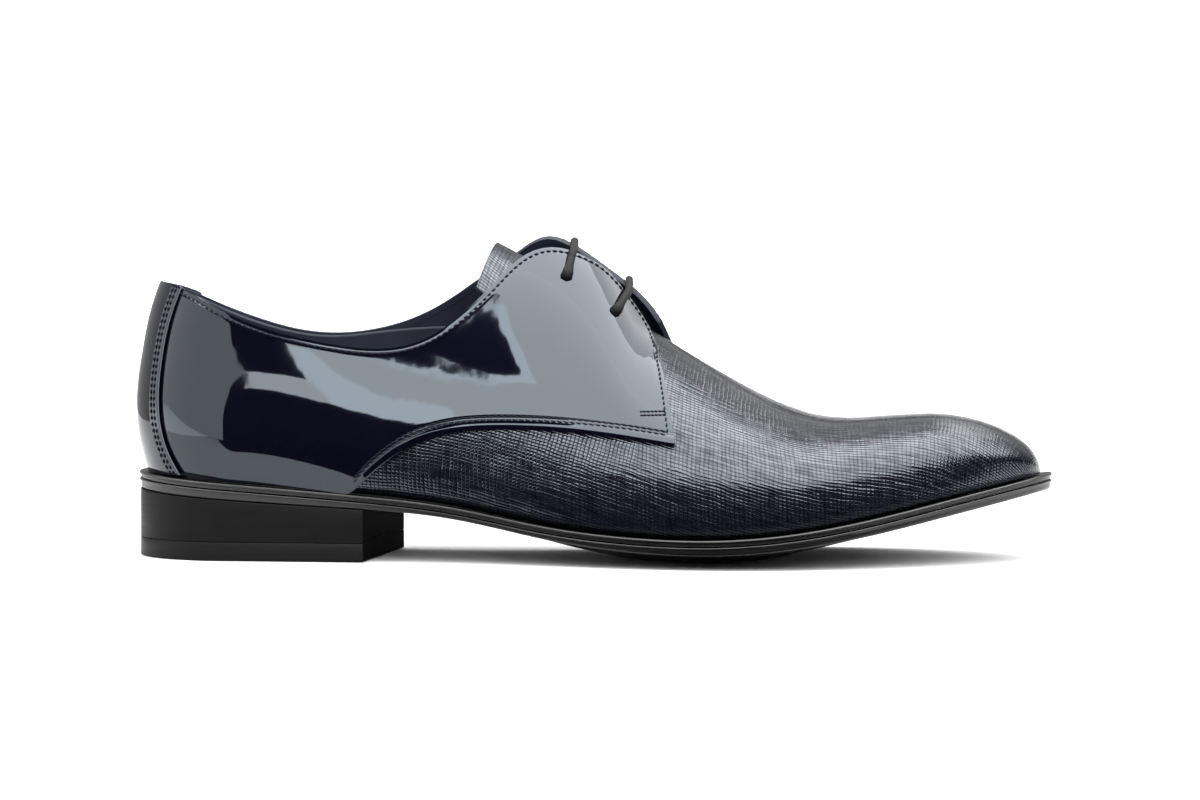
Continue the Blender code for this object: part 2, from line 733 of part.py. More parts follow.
def stand_on_origin(collection):
    """Parents the pieces to an empty that puts the origin under the middle of the shoe."""
    bpy.context.view_layer.update()
    graph = bpy.context.evaluated_depsgraph_get()
    points = []
    for piece in collection.objects:
        whole = piece.evaluated_get(graph)
        points += [vertex.co.copy() for vertex in whole.to_mesh().vertices]
        whole.to_mesh_clear()
    low = Vector(map(min, zip(*points)))
    high = Vector(map(max, zip(*points)))
    centre = (low + high) / 2
    shoe = bpy.data.objects.new("derby_shoe", None)
    shoe.location = (-centre.x, -centre.y, -low.z)
    return shoe


def main():
    for old in list(bpy.data.objects):
        bpy.data.objects.remove(old)
    pieces = bpy.data.collections.new("derby_shoe")
    cutters = bpy.data.collections.new("cutters")
    bpy.context.scene.collection.children.link(pieces)
    bpy.context.scene.collection.children.link(cutters)

    make_outsole(pieces)
    make_welt(pieces)
    make_heel(pieces)
    make_insole(pieces)
    make_upper(pieces)
    make_tongue(pieces)
    for side in (LATERAL, MEDIAL):
        make_quarter(side, pieces, cutters)
    make_back_strip(pieces)
    for name, pair, lean in zip(("lace_bar_upper", "lace_bar_lower"), EYELETS, LACE_LEAN):
        make_lace_bar(name, pair, lean, pieces)

    shoe = stand_on_origin(pieces)
    pieces.objects.link(shoe)
    for piece in [*pieces.objects, *cutters.objects]:
        if piece != shoe:
            piece.parent = shoe


main()
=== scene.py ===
"""Looks of the derby shoe: patent quarters, woven-embossed vamp and tongue, stitched edges, laces and sole.

Sizes and tables are in millimetres in the shoe's own frame: x from the back of the heel to the toe, -y the
lateral side seen in the photo, +z up. world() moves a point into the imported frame, in metres.
"""

import bisect
import math

import bmesh
import bpy
import numpy as np
from mathutils import Matrix, Vector

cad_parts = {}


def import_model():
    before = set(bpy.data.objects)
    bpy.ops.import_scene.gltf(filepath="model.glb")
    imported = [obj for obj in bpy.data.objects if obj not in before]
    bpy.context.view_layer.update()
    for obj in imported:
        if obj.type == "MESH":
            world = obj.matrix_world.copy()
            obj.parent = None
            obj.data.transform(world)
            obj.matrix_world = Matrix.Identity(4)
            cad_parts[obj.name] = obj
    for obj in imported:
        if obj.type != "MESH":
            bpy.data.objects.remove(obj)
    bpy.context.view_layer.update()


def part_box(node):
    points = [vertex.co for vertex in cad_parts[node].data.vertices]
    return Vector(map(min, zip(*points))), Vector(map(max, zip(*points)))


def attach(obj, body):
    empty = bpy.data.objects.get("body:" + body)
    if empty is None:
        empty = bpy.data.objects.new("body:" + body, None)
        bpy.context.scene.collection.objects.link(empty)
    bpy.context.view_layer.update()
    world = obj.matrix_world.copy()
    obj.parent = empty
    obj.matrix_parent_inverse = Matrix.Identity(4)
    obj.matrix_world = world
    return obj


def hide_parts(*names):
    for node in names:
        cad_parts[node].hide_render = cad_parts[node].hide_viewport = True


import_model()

MM = 0.001
LATERAL, MEDIAL = -1, 1

# Sizes shared with the solids
SOLE_LENGTH = 303.6
HEEL_ROUND = 32.0
TOE_ROUND = 104.5
TOE_FULLNESS = 2.5
UPPER_BACK, UPPER_TIP = 6.4, 299.8
UPPER_HEEL_ROUND = 30.0
TOE_BOX_ROUND = 39.2
GAP = 0.35
UPPER_WALL = 1.4
MOUTH_LIMIT = 0.985  # share of the way up to the ridge that the opening's border keeps below
QUARTER_WALL = 1.7
QUARTER_GAP = 0.4
STRIP_WALL = 0.9
STRIP_RISE = 0.6
STRIP_TOP = 90.0  # height at which the strip's width at its top is read
LAYER_RISE = 0.6
TONGUE_WALL = 1.6
TONGUE_GAP = 0.6
INSOLE_THICK = 2.4
INSOLE_INSET = 7.8
WELT_THICK = 2.0
WELT_WIDTH = 9.0
TOP_PIECE_THICK = 6.0
LACE_RADIUS = 1.3
EYELET_RADIUS = 1.75
BREAST = {LATERAL: 80.0, MEDIAL: 84.5}  # front of the heel on each side
BREAST_BOW = 1.5
HEEL_INSET = 0.35
THROAT_FRONT = 172.0
FACING_FRONT = {LATERAL: 175.0, MEDIAL: 172.5}
QUARTER_CORNER = {LATERAL: 184.6, MEDIAL: 182.0}
LEAN_BACK = 110.0
FRONT_BOW = 0.8
QUARTER_FOOT = 76.0
TONGUE_FRONT, TONGUE_TOP, TONGUE_TOP_SIDE = 190.0, 121.0, 116.5
HEEL_BACK_FADE = (0.0, 62.0)
LIFT_BACK, LIFT_FRONT = (84.0, 124.0), (172.0, 183.0)
LIFT_EASE = 2.5
EYELETS = (
    {LATERAL: (145.5, 92.4), MEDIAL: (142.3, 94.6)},
    {LATERAL: (160.9, 81.0), MEDIAL: (160.6, 81.6)},
)
LACE_LEAN = ({LATERAL: 0.6, MEDIAL: 0.2}, {LATERAL: 1.7, MEDIAL: 0.2})  # forward, from the hole to the edge

# Sizes of the looks alone
SHARP_DEGREES = 50.0  # an edge that bends more is one to round or to keep sharp
QUARTER_ROUND, LAYER_ROUND = 0.45, 0.4  # radius of rounded edges
SEAM_CLEAR = 0.02  # a quarter starts this far from the back seam
THROAT_STATIONS = (-6.0, -4.0, -2.4, -1.2, -0.5, -0.12, 0.0)  # added sections, from the front of the throat
THROAT_CLEAR = 0.8  # other sections keep this far from them
FOLLOW_BACK, FOLLOW_GAIN, FOLLOW_RUN = 0.4, 0.5, (120.0, 195.0)  # how far the weave's rows follow the ridge
EYELET_SIDES, EYELET_PIN = 28, 8.5  # of the pin that cuts a hole, and its length
LACE_CLEAR, LACE_BEND = 0.05, 1.7  # gap under a lace, and radius of its turn out of a hole
LACE_DEPTHS = (4.0, 1.6)  # points of a lace inside a hole
LACE_SHARES = (0.55, 0.95)  # points of a lace on the way to the lacing edge
LACE_ARCH = 0.5  # rise of a lace between the lacing edges
BREAST_FACING = 0.8  # a heel face that looks forward by this much is on its front
SEAT_GAP, LIFT_GAP = 0.05, 0.1  # above the heel and under it

# Stitching
STITCH_PITCH, TACK_PITCH = 2.15, 1.25
STITCH_SHARE, CLOSE_SHARE = 0.86, 1.25  # length of a stitch as a share of its pitch
THREAD_RADIUS = 0.3
STITCH_SLANT = 0.16  # turn of a stitch out of its row
EDGE_ROW = 1.6  # of the single row along the collar, lacing edge and front edge
LOWER_ROWS = (2.2, 3.4)  # of the double row along a quarter's lower edge
TACK_HEIGHTS, TACK_LENGTH = (49.6, 48.5), 8.6  # of the two short rows behind the front edge
STRIP_ROWS = (2.0, 3.6)  # of the double row along the back strip
STITCH_DENT = 0.09
STITCH_LEAD = 0.1  # share of its pitch before each stitch
DENT_START, ROW_START = 2.0, 1.0  # of the lower rows, ahead of where the quarter's edge leaves the sole
THREAD_RISE = 0.08  # of a stitch's middle line out of its dent
STRIP_CLEAR = 9.5  # the collar's row starts this far ahead of the back seam, beside the strip
QUARTER_LIP = ((0.0, 0.1), (0.5, 0.38), (1.0, 0.42), (1.5, 0.24), (1.85, 0.03))  # bead of the lower edge


class Curve:
    """Natural cubic spline through the rows of a table, level beyond its ends."""

    def __init__(self, at, value):
        self.at, self.value = [float(v) for v in at], [float(v) for v in value]
        step = np.diff(self.at)
        slope = np.diff(self.value) / step
        count = len(self.at)
        system, right = np.eye(count), np.zeros(count)
        for i in range(1, count - 1):
            system[i, i - 1 : i + 2] = step[i - 1], 2 * (step[i - 1] + step[i]), step[i]
            right[i] = 6 * (slope[i] - slope[i - 1])
        self.bend = np.linalg.solve(system, right).tolist()

    def __call__(self, x):
        x = min(max(x, self.at[0]), self.at[-1])
        i = min(max(bisect.bisect_left(self.at, x) - 1, 0), len(self.at) - 2)
        step = self.at[i + 1] - self.at[i]
        a = (self.at[i + 1] - x) / step
        b = 1 - a
        cubic = (a**3 - a) * self.bend[i] + (b**3 - b) * self.bend[i + 1]
        return a * self.value[i] + b * self.value[i + 1] + cubic * step * step / 6


def table(names, *rows):
    """Column name to smooth curve over the first column."""
    data = np.array(rows, float)
    return {name: Curve(data[:, 0], data[:, k]) for k, name in enumerate(names.split()) if k}


SOLE = table(
    "x     centre lateral medial  edge  crown  thick",
    (0.0, 0.0, 31.5, 31.5, 28.0, 0.0, 3.4),
    (35.0, 0.0, 32.0, 32.0, 25.3, 0.0, 3.2),
    (75.0, 0.0, 32.0, 31.0, 22.2, 0.0, 2.4),
    (110.0, 0.0, 33.5, 27.0, 18.4, 0.8, 1.7),
    (140.0, 0.3, 41.0, 30.5, 13.2, 3.6, 2.0),
    (170.0, 0.8, 49.5, 39.5, 10.3, 6.2, 2.6),
    (200.0, 1.5, 53.5, 48.0, 9.9, 6.3, 2.8),
    (225.0, 2.5, 52.0, 50.5, 12.1, 3.6, 2.9),
    (250.0, 4.0, 48.0, 49.0, 16.7, 1.9, 3.0),
    (275.0, 5.8, 44.0, 45.0, 22.6, 1.0, 3.0),
    (303.6, 8.0, 38.0, 38.0, 28.9, 0.3, 2.8),
)
LAST = table(
    "x     inset lateral_bulge medial_bulge share ridge fullness",
    (0.0, 3.4, 2.4, 2.4, 0.25, 108.0, 2.2),
    (35.0, 3.4, 2.4, 2.4, 0.25, 112.0, 2.2),
    (75.0, 3.2, 2.6, 4.0, 0.25, 115.0, 2.2),
    (100.0, 3.2, 3.6, 7.5, 0.25, 113.5, 2.15),
    (121.0, 3.4, 4.0, 8.5, 0.25, 106.0, 1.9),
    (140.0, 3.8, 3.6, 8.0, 0.25, 95.3, 1.72),
    (158.0, 4.2, 3.0, 6.0, 0.26, 84.0, 1.68),
    (176.0, 4.6, 2.6, 4.2, 0.28, 72.6, 1.8),
    (200.0, 4.8, 2.2, 2.6, 0.31, 58.2, 2.0),
    (214.0, 4.9, 2.0, 2.2, 0.34, 51.2, 2.1),
    (227.0, 5.0, 2.0, 2.0, 0.36, 47.2, 2.15),
    (250.0, 5.0, 2.0, 2.0, 0.38, 47.3, 2.25),
    (275.0, 4.8, 2.0, 2.0, 0.40, 48.5, 2.3),
    (304.5, 4.4, 2.0, 2.0, 0.42, 49.8, 2.3),
)
HEEL_BACK = table(
    "height forward",
    (26.0, 0.4),
    (38.0, -2.8),
    (49.0, -4.0),
    (60.0, -3.2),
    (70.0, -1.6),
    (80.0, 0.5),
    (92.0, 4.6),
)
TOPLINE = table(
    "x     lateral medial",
    (4.0, 89.4, 89.4),
    (12.0, 89.0, 86.6),
    (22.0, 86.4, 82.0),
    (33.0, 81.5, 77.6),
    (46.0, 76.6, 73.8),
    (60.0, 73.0, 72.2),
    (75.0, 70.5, 73.7),
    (88.0, 70.0, 77.6),
    (98.0, 72.0, 82.6),
    (107.0, 76.6, 88.4),
    (115.0, 83.0, 93.8),
    (122.0, 90.1, 98.2),
    (129.0, 97.4, 102.8),
    (135.0, 101.0, 104.8),
    (142.0, 101.5, 102.7),
    (149.0, 99.2, 98.2),
    (156.0, 94.8, 93.1),
    (164.0, 85.1, 86.9),
    (170.0, 76.4, 80.4),
    (175.0, 68.6, 72.4),
)
FACING = table(
    "x     lateral medial",
    (100.0, 29.7, 26.5),
    (107.0, 29.2, 25.0),
    (115.0, 27.6, 22.2),
    (122.0, 24.57, 19.5),
    (131.0, 18.8, 15.8),
    (141.0, 13.9, 13.0),
    (150.0, 11.2, 11.2),
    (158.0, 9.6, 9.6),
    (166.0, 8.2, 8.2),
    (172.5, 7.0, 7.0),
)
LOWER_EDGE = table(
    "x     height",
    (76.0, 23.0),
    (80.0, 27.6),
    (85.6, 32.6),
    (95.6, 39.1),
    (109.6, 43.6),
    (122.0, 44.9),
    (135.0, 45.1),
    (160.0, 43.6),
    (184.2, 40.2),
)
MOUTH = table(
    "x     lateral medial",
    (4.0, 88.8, 88.8),
    (12.0, 88.4, 86.0),
    (22.0, 85.8, 81.4),
    (33.0, 80.9, 77.0),
    (46.0, 76.0, 73.2),
    (60.0, 72.4, 71.6),
    (75.0, 69.9, 73.0),
    (90.0, 69.6, 74.6),
    (110.0, 72.6, 75.2),
    (135.0, 75.4, 75.6),
    (152.0, 74.6, 74.6),
    (165.0, 72.6, 72.6),
    (172.0, 75.0, 75.0),
)
STRIP_EDGE = table(
    "height reach",
    (24.0, 15.6),
    (34.0, 12.0),
    (46.0, 10.2),
    (58.0, 9.7),
    (72.0, 9.6),
    (84.0, 10.2),
    (92.0, 10.6),
)
TONGUE = table("x half_width", (116.0, 23.0), (135.0, 26.0), (155.0, 25.0), (172.0, 21.0), (190.0, 13.0))

# How much a quarter leans out with height, round a level line: a slow twist from its counter to its waist
TWIST = table(
    "x     lean",
    (0.0, 0.0),
    (12.0, 0.004),
    (40.0, 0.03),
    (68.0, -0.008),
    (95.0, -0.045),
    (110.0, -0.042),
    (126.0, -0.02),
    (142.0, -0.005),
    (158.0, 0.0),
    (175.0, 0.0),
)
TWIST_LEVEL = 65.0
SWELL_AT, SWELL_HIGH = 111.0, 0.105  # a slight swell of a quarter ahead of the heel
SWELL_BEHIND, SWELL_AHEAD = 13.0, 8.0  # how far it runs

# Side profiles: share of the layer's thickness, and how proud of the edge. A bead on top of each layer.
WELT_RIBS = (
    (1.0, -1.0), (1.0, -0.62), (0.97, -0.36), (0.9, -0.14), (0.8, -0.03), (0.7, 0.0), (0.6, -0.04),
    (0.52, -0.16), (0.46, -0.36), (0.42, -0.5), (0.2, -0.56), (0.02, -0.56),
)
OUTSOLE_RIBS = (
    (1.0, -1.0), (1.0, -0.5), (0.985, -0.3), (0.94, -0.12), (0.88, -0.05), (0.82, -0.12), (0.77, -0.3),
    (0.74, -0.46), (0.5, -0.56), (0.28, -0.6), (0.16, -0.7), (0.07, -0.95), (0.015, -1.35), (0.0, -1.8),
)
HEEL_RIM = (
    (1.0, -0.6), (1.0, -0.2), (0.99, -0.06), (0.97, 0.0),
    (0.03, 0.0), (0.01, -0.06), (0.0, -0.2), (0.0, -0.6),
)
INSOLE_RIM = ((1.0, -1.2), (0.98, -0.5), (0.88, -0.12), (0.7, 0.0), (0.1, 0.0), (0.0, -0.3))


def side_name(side):
    return "lateral" if side == LATERAL else "medial"


def along(q, first, last):
    """x at share q of the way from first to last, with points close together at both ends."""
    return first + (last - first) * (1 - math.cos(math.pi * q)) / 2


def share_of(x, first, last):
    """The q at which along gives x."""
    return math.acos(1 - 2 * min(max((x - first) / (last - first), 0), 1)) / math.pi


def smooth_step(x, first, last):
    t = min(max((x - first) / (last - first), 0), 1)
    return t**3 * (10 - 15 * t + 6 * t * t)


def rounded_ends(x, first, last, heel, toe):
    back = min((x - first) / heel, 1)
    front = max((x - last + toe) / toe, 0)
    return math.sqrt(max(1 - (1 - back) ** 2, 0)) * math.sqrt(max(1 - front**TOE_FULLNESS, 0))


def section(side, x, lift):
    """Foot height, belly height, ridge height, half-width at foot and belly, and fullness at x."""
    name = side_name(side)
    closing = rounded_ends(x, UPPER_BACK, UPPER_TIP, UPPER_HEEL_ROUND, TOE_ROUND)
    foot_width = (SOLE[name](x) - LAST["inset"](x)) * closing
    belly_width = foot_width + LAST[name + "_bulge"](x) * closing
    nose = max((x - UPPER_TIP + TOE_BOX_ROUND) / TOE_BOX_ROUND, 0)
    foot = SOLE["edge"](x) + GAP
    ridge = foot + (LAST["ridge"](x) - foot) * math.sqrt(max(1 - nose**2, 0))
    belly = foot + (ridge - foot) * LAST["share"](x)
    fullness = LAST["fullness"](x)
    if lift:
        edge = (FACING[name](x) + side * SOLE["centre"](x)) / max(belly_width, FACING[name](x) + 1)
        arch = (1 - edge**fullness) ** (1 / fullness)
        raised = belly + (TOPLINE[name](x) - belly) / arch
        above = raised - ridge
        lifted = (above + math.hypot(above, LIFT_EASE)) / 2
        ridge += lifted * smooth_step(x, *LIFT_BACK) * (1 - smooth_step(x, *LIFT_FRONT))
    return foot, belly, ridge, foot_width, belly_width, fullness


def place(side, x, half_width, height):
    lean = HEEL_BACK["forward"](height) * (1 - smooth_step(x, *HEEL_BACK_FADE))
    return Vector((x + lean, SOLE["centre"](x) + side * half_width, height))


def wall_point(side, x, rise, lift=False):
    """Outer face of the upper: rise runs from -1 at the foot through 0 at the belly to 1 at the ridge."""
    foot, belly, ridge, foot_width, belly_width, fullness = section(side, x, lift)
    if rise < 0:
        half_width = belly_width - (belly_width - foot_width) * (-rise) ** 3
        return place(side, x, half_width, belly + (belly - foot) * rise)
    angle = rise * math.pi / 2
    half_width = belly_width * max(math.cos(angle), 0) ** (2 / fullness)
    return place(side, x, half_width, belly + (ridge - belly) * math.sin(angle) ** (2 / fullness))


def rise_at(side, x, height, lift=False):
    foot, belly, ridge, _, _, fullness = section(side, x, lift)
    if height < belly:
        return max((height - belly) / (belly - foot), -1)
    share = min((height - belly) / max(ridge - belly, 1e-6), 1)
    return math.asin(share ** (fullness / 2)) * 2 / math.pi


def face_at(side, x, height, out):
    """Point of a quarter's form at that height, moved outwards, and the direction out of it."""
    step = 0.5

    def at(dx, dz):
        return wall_point(side, x + dx, rise_at(side, x + dx, height + dz, True), True)

    forward = at(step, 0) - at(-step, 0)
    upward = at(0, step) - at(0, -step)
    normal = upward.cross(forward).normalized() * side
    return at(0, 0) + normal * out, normal


def sole_edge(side, q):
    if q < 0 or q > 1:
        side, q = -side, -q if q < 0 else 2 - q
    x = along(q, 0, SOLE_LENGTH)
    width = SOLE[side_name(side)](x) * rounded_ends(x, 0, SOLE_LENGTH, HEEL_ROUND, TOE_ROUND)
    return Vector((x, SOLE["centre"](x) + side * width, 0))


def sole_rim(side, q, proud):
    step = 0.004
    run = (sole_edge(side, q + step) - sole_edge(side, q - step)).normalized()
    return sole_edge(side, q) + Vector((-run.y, run.x, 0)) * side * proud


def sole_top(x, y):
    off_centre = y - SOLE["centre"](x)
    side = MEDIAL if off_centre > 0 else LATERAL
    half_width = SOLE[side_name(side)](x) * rounded_ends(x, 0, SOLE_LENGTH, HEEL_ROUND, TOE_ROUND)
    across = min(abs(off_centre) / max(half_width, 0.1), 1)
    return SOLE["edge"](x) - SOLE["crown"](x) * (1 - across**2) ** 2


def outsole_top(x, y):
    return sole_top(x, y) - WELT_THICK - GAP


def outsole_bottom(x, y):
    return max(outsole_top(x, y) - SOLE["thick"](x), 0)


# The shoe's own frame starts at the back of the welt and on the middle of its heel.
welt_low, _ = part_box("welt")
lateral_reach = min(sole_edge(LATERAL, i / 200).y for i in range(201))
ORIGIN = Vector((-welt_low[0] / MM, lateral_reach - welt_low[1] / MM, 0))


def world(point):
    return (Vector(point) - ORIGIN) * MM


def add_piece(name, mesh, materials, replaces=()):
    """Makes an object that rides with the shoe."""
    piece = bpy.data.objects.new(name, mesh)
    bpy.context.scene.collection.objects.link(piece)
    for made in materials:
        mesh.materials.append(made)
    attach(piece, "root")
    if replaces:
        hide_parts(*replaces)
    return piece


def mesh_from(name, points, faces, uvs=None, weld=True):
    """Smooth mesh from points in the shoe's frame, with one uv pair per point."""
    mesh = bpy.data.meshes.new(name)
    mesh.from_pydata([world(p) for p in points], [], faces)
    if uvs is not None:
        layer = mesh.uv_layers.new(name="weave")
        for loop in mesh.loops:
            layer.data[loop.index].uv = uvs[loop.vertex_index]
    if weld:
        form = bmesh.new()
        form.from_mesh(mesh)
        bmesh.ops.remove_doubles(form, verts=form.verts, dist=1e-6)
        bmesh.ops.dissolve_degenerate(form, edges=form.edges, dist=1e-7)
        form.to_mesh(mesh)
        form.free()
    mesh.shade_smooth()
    return mesh


def grid_faces(columns, rows):
    """Quads of a grid whose points are listed column by column, seen from outside right to left."""
    faces = []
    for i in range(columns - 1):
        for j in range(rows - 1):
            a = i * rows + j
            faces.append((a, a + 1, a + rows + 1, a + rows))
    return faces


def grid_normals(grid):
    """Outward normals of a grid of points."""
    points = np.array([[tuple(p) for p in column] for column in grid])
    across, up = np.gradient(points, axis=0), np.gradient(points, axis=1)
    normals = np.cross(up, across)
    length = np.linalg.norm(normals, axis=2, keepdims=True)
    return points, normals / np.maximum(length, 1e-9)


def run_along(points, axis=0):
    """Distance of each point along a line of points, or along one axis of a grid of them."""
    steps = np.diff(points, axis=axis, prepend=np.take(points, [0], axis=axis))
    return np.cumsum(np.linalg.norm(steps, axis=-1), axis=axis)


def resample(points, distances):
    """Points at given distances along a polyline, where a negative distance counts from its end."""
    path = np.array([tuple(p) for p in points])
    run = run_along(path)
    wanted = [d if d >= 0 else run[-1] + d for d in distances]
    return np.stack([np.interp(wanted, run, path[:, k]) for k in range(3)], axis=1), run[-1]


def spaced(length, first, last, middle):
    """Distances along a line: those given from its start, evenly spaced ones, those given from its end."""
    start, end = first[-1], length - last[-1]
    between = [start + (end - start) * k / (middle + 1) for k in range(1, middle + 1)]
    return [*first, *between, *[length - d for d in reversed(last)]]


def thicken(piece, wall, rim_slot=0, bevel=0.0):
    """Wall of a layer, with its second material inside, and rounded edges."""
    solid = piece.modifiers.new("wall", "SOLIDIFY")
    solid.thickness = abs(wall) * MM
    solid.offset = math.copysign(1, wall)
    solid.material_offset = 1
    solid.material_offset_rim = rim_slot
    if bevel:
        round_edges(piece, bevel)
    return piece


def round_edges(piece, radius):
    edge = piece.modifiers.new("edge", "BEVEL")
    edge.width = radius * MM
    edge.segments = 3
    edge.limit_method = "ANGLE"
    edge.angle_limit = math.radians(SHARP_DEGREES)


# Materials
def new_material(name, colour, roughness, **inputs):
    """A Principled material, its node tree and its shader. Other inputs are named in small letters."""
    made = bpy.data.materials.new(name)
    made.use_nodes = True
    shader = made.node_tree.nodes["Principled BSDF"]
    shader.inputs["Base Color"].default_value = (*colour, 1)
    shader.inputs["Roughness"].default_value = roughness
    for key, value in inputs.items():
        shader.inputs[key.replace("_", " ").title().replace("Ior", "IOR")].default_value = value
    return made, made.node_tree, shader


class Nodes:
    """Short calls for building a node tree."""

    def __init__(self, tree):
        self.tree = tree

    def add(self, kind, **values):
        node = self.tree.nodes.new(kind)
        for key, value in values.items():
            setattr(node, key, value)
        return node

    def link(self, a, b):
        self.tree.links.new(a, b)

    def math(self, operation, a, b=None, c=None):
        node = self.add("ShaderNodeMath", operation=operation)
        for socket, value in zip(node.inputs, (a, b, c)):
            if value is None:
                continue
            if isinstance(value, (int, float)):
                socket.default_value = value
            else:
                self.link(value, socket)
        return node.outputs[0]

    def coordinates(self, scale=(1, 1, 1), kind="Object"):
        source = self.add("ShaderNodeTexCoord")
        mapping = self.add("ShaderNodeMapping")
        mapping.inputs["Scale"].default_value = scale
        self.link(source.outputs[kind], mapping.inputs["Vector"])
        return mapping.outputs["Vector"]

    def noise(self, vector, scale, detail=2.0, roughness=0.5):
        node = self.add("ShaderNodeTexNoise")
        node.inputs["Scale"].default_value = scale
        node.inputs["Detail"].default_value = detail
        node.inputs["Roughness"].default_value = roughness
        self.link(vector, node.inputs["Vector"])
        return node.outputs["Fac"]

    def ramp(self, value, *stops):
        node = self.add("ShaderNodeValToRGB")
        elements = node.color_ramp.elements
        while len(elements) < len(stops):
            elements.new(0.5)
        for element, (position, colour) in zip(elements, stops):
            element.position = position
            element.color = (*colour, 1) if len(colour) == 3 else colour
        self.link(value, node.inputs["Fac"])
        return node.outputs["Color"]

    def range(self, value, low, high):
        node = self.add("ShaderNodeMapRange")
        node.inputs["To Min"].default_value = low
        node.inputs["To Max"].default_value = high
        self.link(value, node.inputs["Value"])
        return node.outputs["Result"]

    def bump(self, height, strength, distance_mm, normal=None):
        node = self.add("ShaderNodeBump")
        node.inputs["Strength"].default_value = strength
        node.inputs["Distance"].default_value = distance_mm * MM
        self.link(height, node.inputs["Height"])
        if normal:
            self.link(normal, node.inputs["Normal"])
        return node.outputs["Normal"]


def patent_leather():
    coat = {"ior": 1.55, "specular_tint": (0.82, 0.92, 1.0, 1)}
    made, tree, shader = new_material("patent_leather", (0.001, 0.001, 0.003), 0.035, **coat)
    nodes = Nodes(tree)
    spot = nodes.coordinates()
    slow = nodes.noise(spot, 90.0, 2.0)
    fine = nodes.noise(nodes.coordinates((0.5, 1.0, 1.0)), 1100.0, 3.0, 0.6)
    normal = nodes.bump(slow, 0.05, 0.5)
    normal = nodes.bump(fine, 0.02, 0.05, normal)
    nodes.link(normal, shader.inputs["Normal"])
    clouds = nodes.noise(spot, 25.0, 3.0)
    colour = nodes.ramp(clouds, (0.3, (0.0008, 0.0008, 0.0026)), (0.7, (0.0012, 0.0012, 0.0036)))
    nodes.link(colour, shader.inputs["Base Color"])
    return made


def woven_leather():
    """Leather pressed with rows of small pads, like a cloth. Its uv map is in millimetres."""
    row_pitch, column_pitch = 1.17, 1.4
    coat = {"ior": 1.6, "specular_tint": (0.82, 0.91, 1.0, 1)}
    made, tree, shader = new_material("embossed_leather", (0.001, 0.0011, 0.0028), 0.08, **coat)
    nodes = Nodes(tree)
    uv = nodes.add("ShaderNodeUVMap", uv_map="weave")
    wander = nodes.add("ShaderNodeTexNoise")
    wander.inputs["Scale"].default_value = 0.12
    nodes.link(uv.outputs["UV"], wander.inputs["Vector"])
    split = nodes.add("ShaderNodeSeparateXYZ")
    nodes.link(uv.outputs["UV"], split.inputs["Vector"])
    sway = nodes.add("ShaderNodeSeparateColor")
    nodes.link(wander.outputs["Color"], sway.inputs["Color"])

    def rounds(place, shift, pitch, power):
        """Round backs side by side along one axis."""
        at = nodes.math("ADD", place, nodes.math("MULTIPLY", shift, 1.6))
        wave = nodes.math("SINE", nodes.math("MULTIPLY", at, math.pi / pitch))
        return nodes.math("POWER", nodes.math("ABSOLUTE", wave), power)

    def varied(stretch, low, high):
        """Unequal height of single threads."""
        mapping = nodes.add("ShaderNodeMapping")
        mapping.inputs["Scale"].default_value = (*stretch, 1)
        nodes.link(uv.outputs["UV"], mapping.inputs["Vector"])
        return nodes.range(nodes.noise(mapping.outputs["Vector"], 1.0, 1.0), low, high)

    rows = rounds(split.outputs["Y"], sway.outputs["Green"], row_pitch, 0.45)
    columns = rounds(split.outputs["X"], sway.outputs["Red"], column_pitch, 0.4)
    pads = nodes.math("MULTIPLY_ADD", columns, 0.75, 0.25)
    height = nodes.math("MULTIPLY", nodes.math("MULTIPLY", rows, pads), varied((0.1, 0.9), 0.2, 1.7))
    height = nodes.math("MULTIPLY", height, varied((0.75, 0.1), 0.5, 1.4))
    normal = nodes.bump(height, 0.62, 0.15)
    nodes.link(normal, shader.inputs["Normal"])
    # Painted shade: the grooves between the pads get a darker colour and less gloss than the pads, standing
    # in for the shade that falls in them
    colour = nodes.ramp(height, (0.2, (0.0009, 0.0009, 0.002)), (0.8, (0.003, 0.0031, 0.006)))
    nodes.link(colour, shader.inputs["Base Color"])
    nodes.link(nodes.range(height, 0.0, 0.68), shader.inputs["Specular IOR Level"])
    return made


def lining_leather():
    made, tree, shader = new_material("lining_leather", (0.006, 0.008, 0.017), 0.55, specular_ior_level=0.25)
    nodes = Nodes(tree)
    spot = nodes.coordinates()
    grain = nodes.noise(spot, 1400.0, 3.0, 0.65)
    nodes.link(nodes.bump(grain, 0.3, 0.06), shader.inputs["Normal"])
    clouds = nodes.noise(spot, 60.0, 4.0)
    colour = nodes.ramp(clouds, (0.3, (0.0045, 0.006, 0.013)), (0.7, (0.008, 0.0105, 0.021)))
    nodes.link(colour, shader.inputs["Base Color"])
    nodes.link(nodes.range(nodes.noise(spot, 40.0), 0.42, 0.6), shader.inputs["Roughness"])
    return made


def sole_leather(name, roughness, streak_scale, gloss):
    """Black edge dye over layered leather, with fine streaks along the layers."""
    made, tree, shader = new_material(name, (0.001, 0.001, 0.001), roughness, specular_ior_level=gloss)
    nodes = Nodes(tree)
    streaks = nodes.noise(nodes.coordinates((0.03, 0.03, 1.0)), streak_scale, 4.0, 0.65)
    normal = nodes.bump(streaks, 0.22, 0.12)
    scuffs = nodes.noise(nodes.coordinates(), 700.0, 3.0)
    nodes.link(nodes.bump(scuffs, 0.12, 0.05, normal), shader.inputs["Normal"])
    colour = nodes.ramp(streaks, (0.3, (0.0006, 0.0006, 0.0006)), (0.75, (0.0022, 0.0021, 0.002)))
    nodes.link(colour, shader.inputs["Base Color"])
    nodes.link(nodes.range(streaks, roughness - 0.1, roughness + 0.14), shader.inputs["Roughness"])
    return made


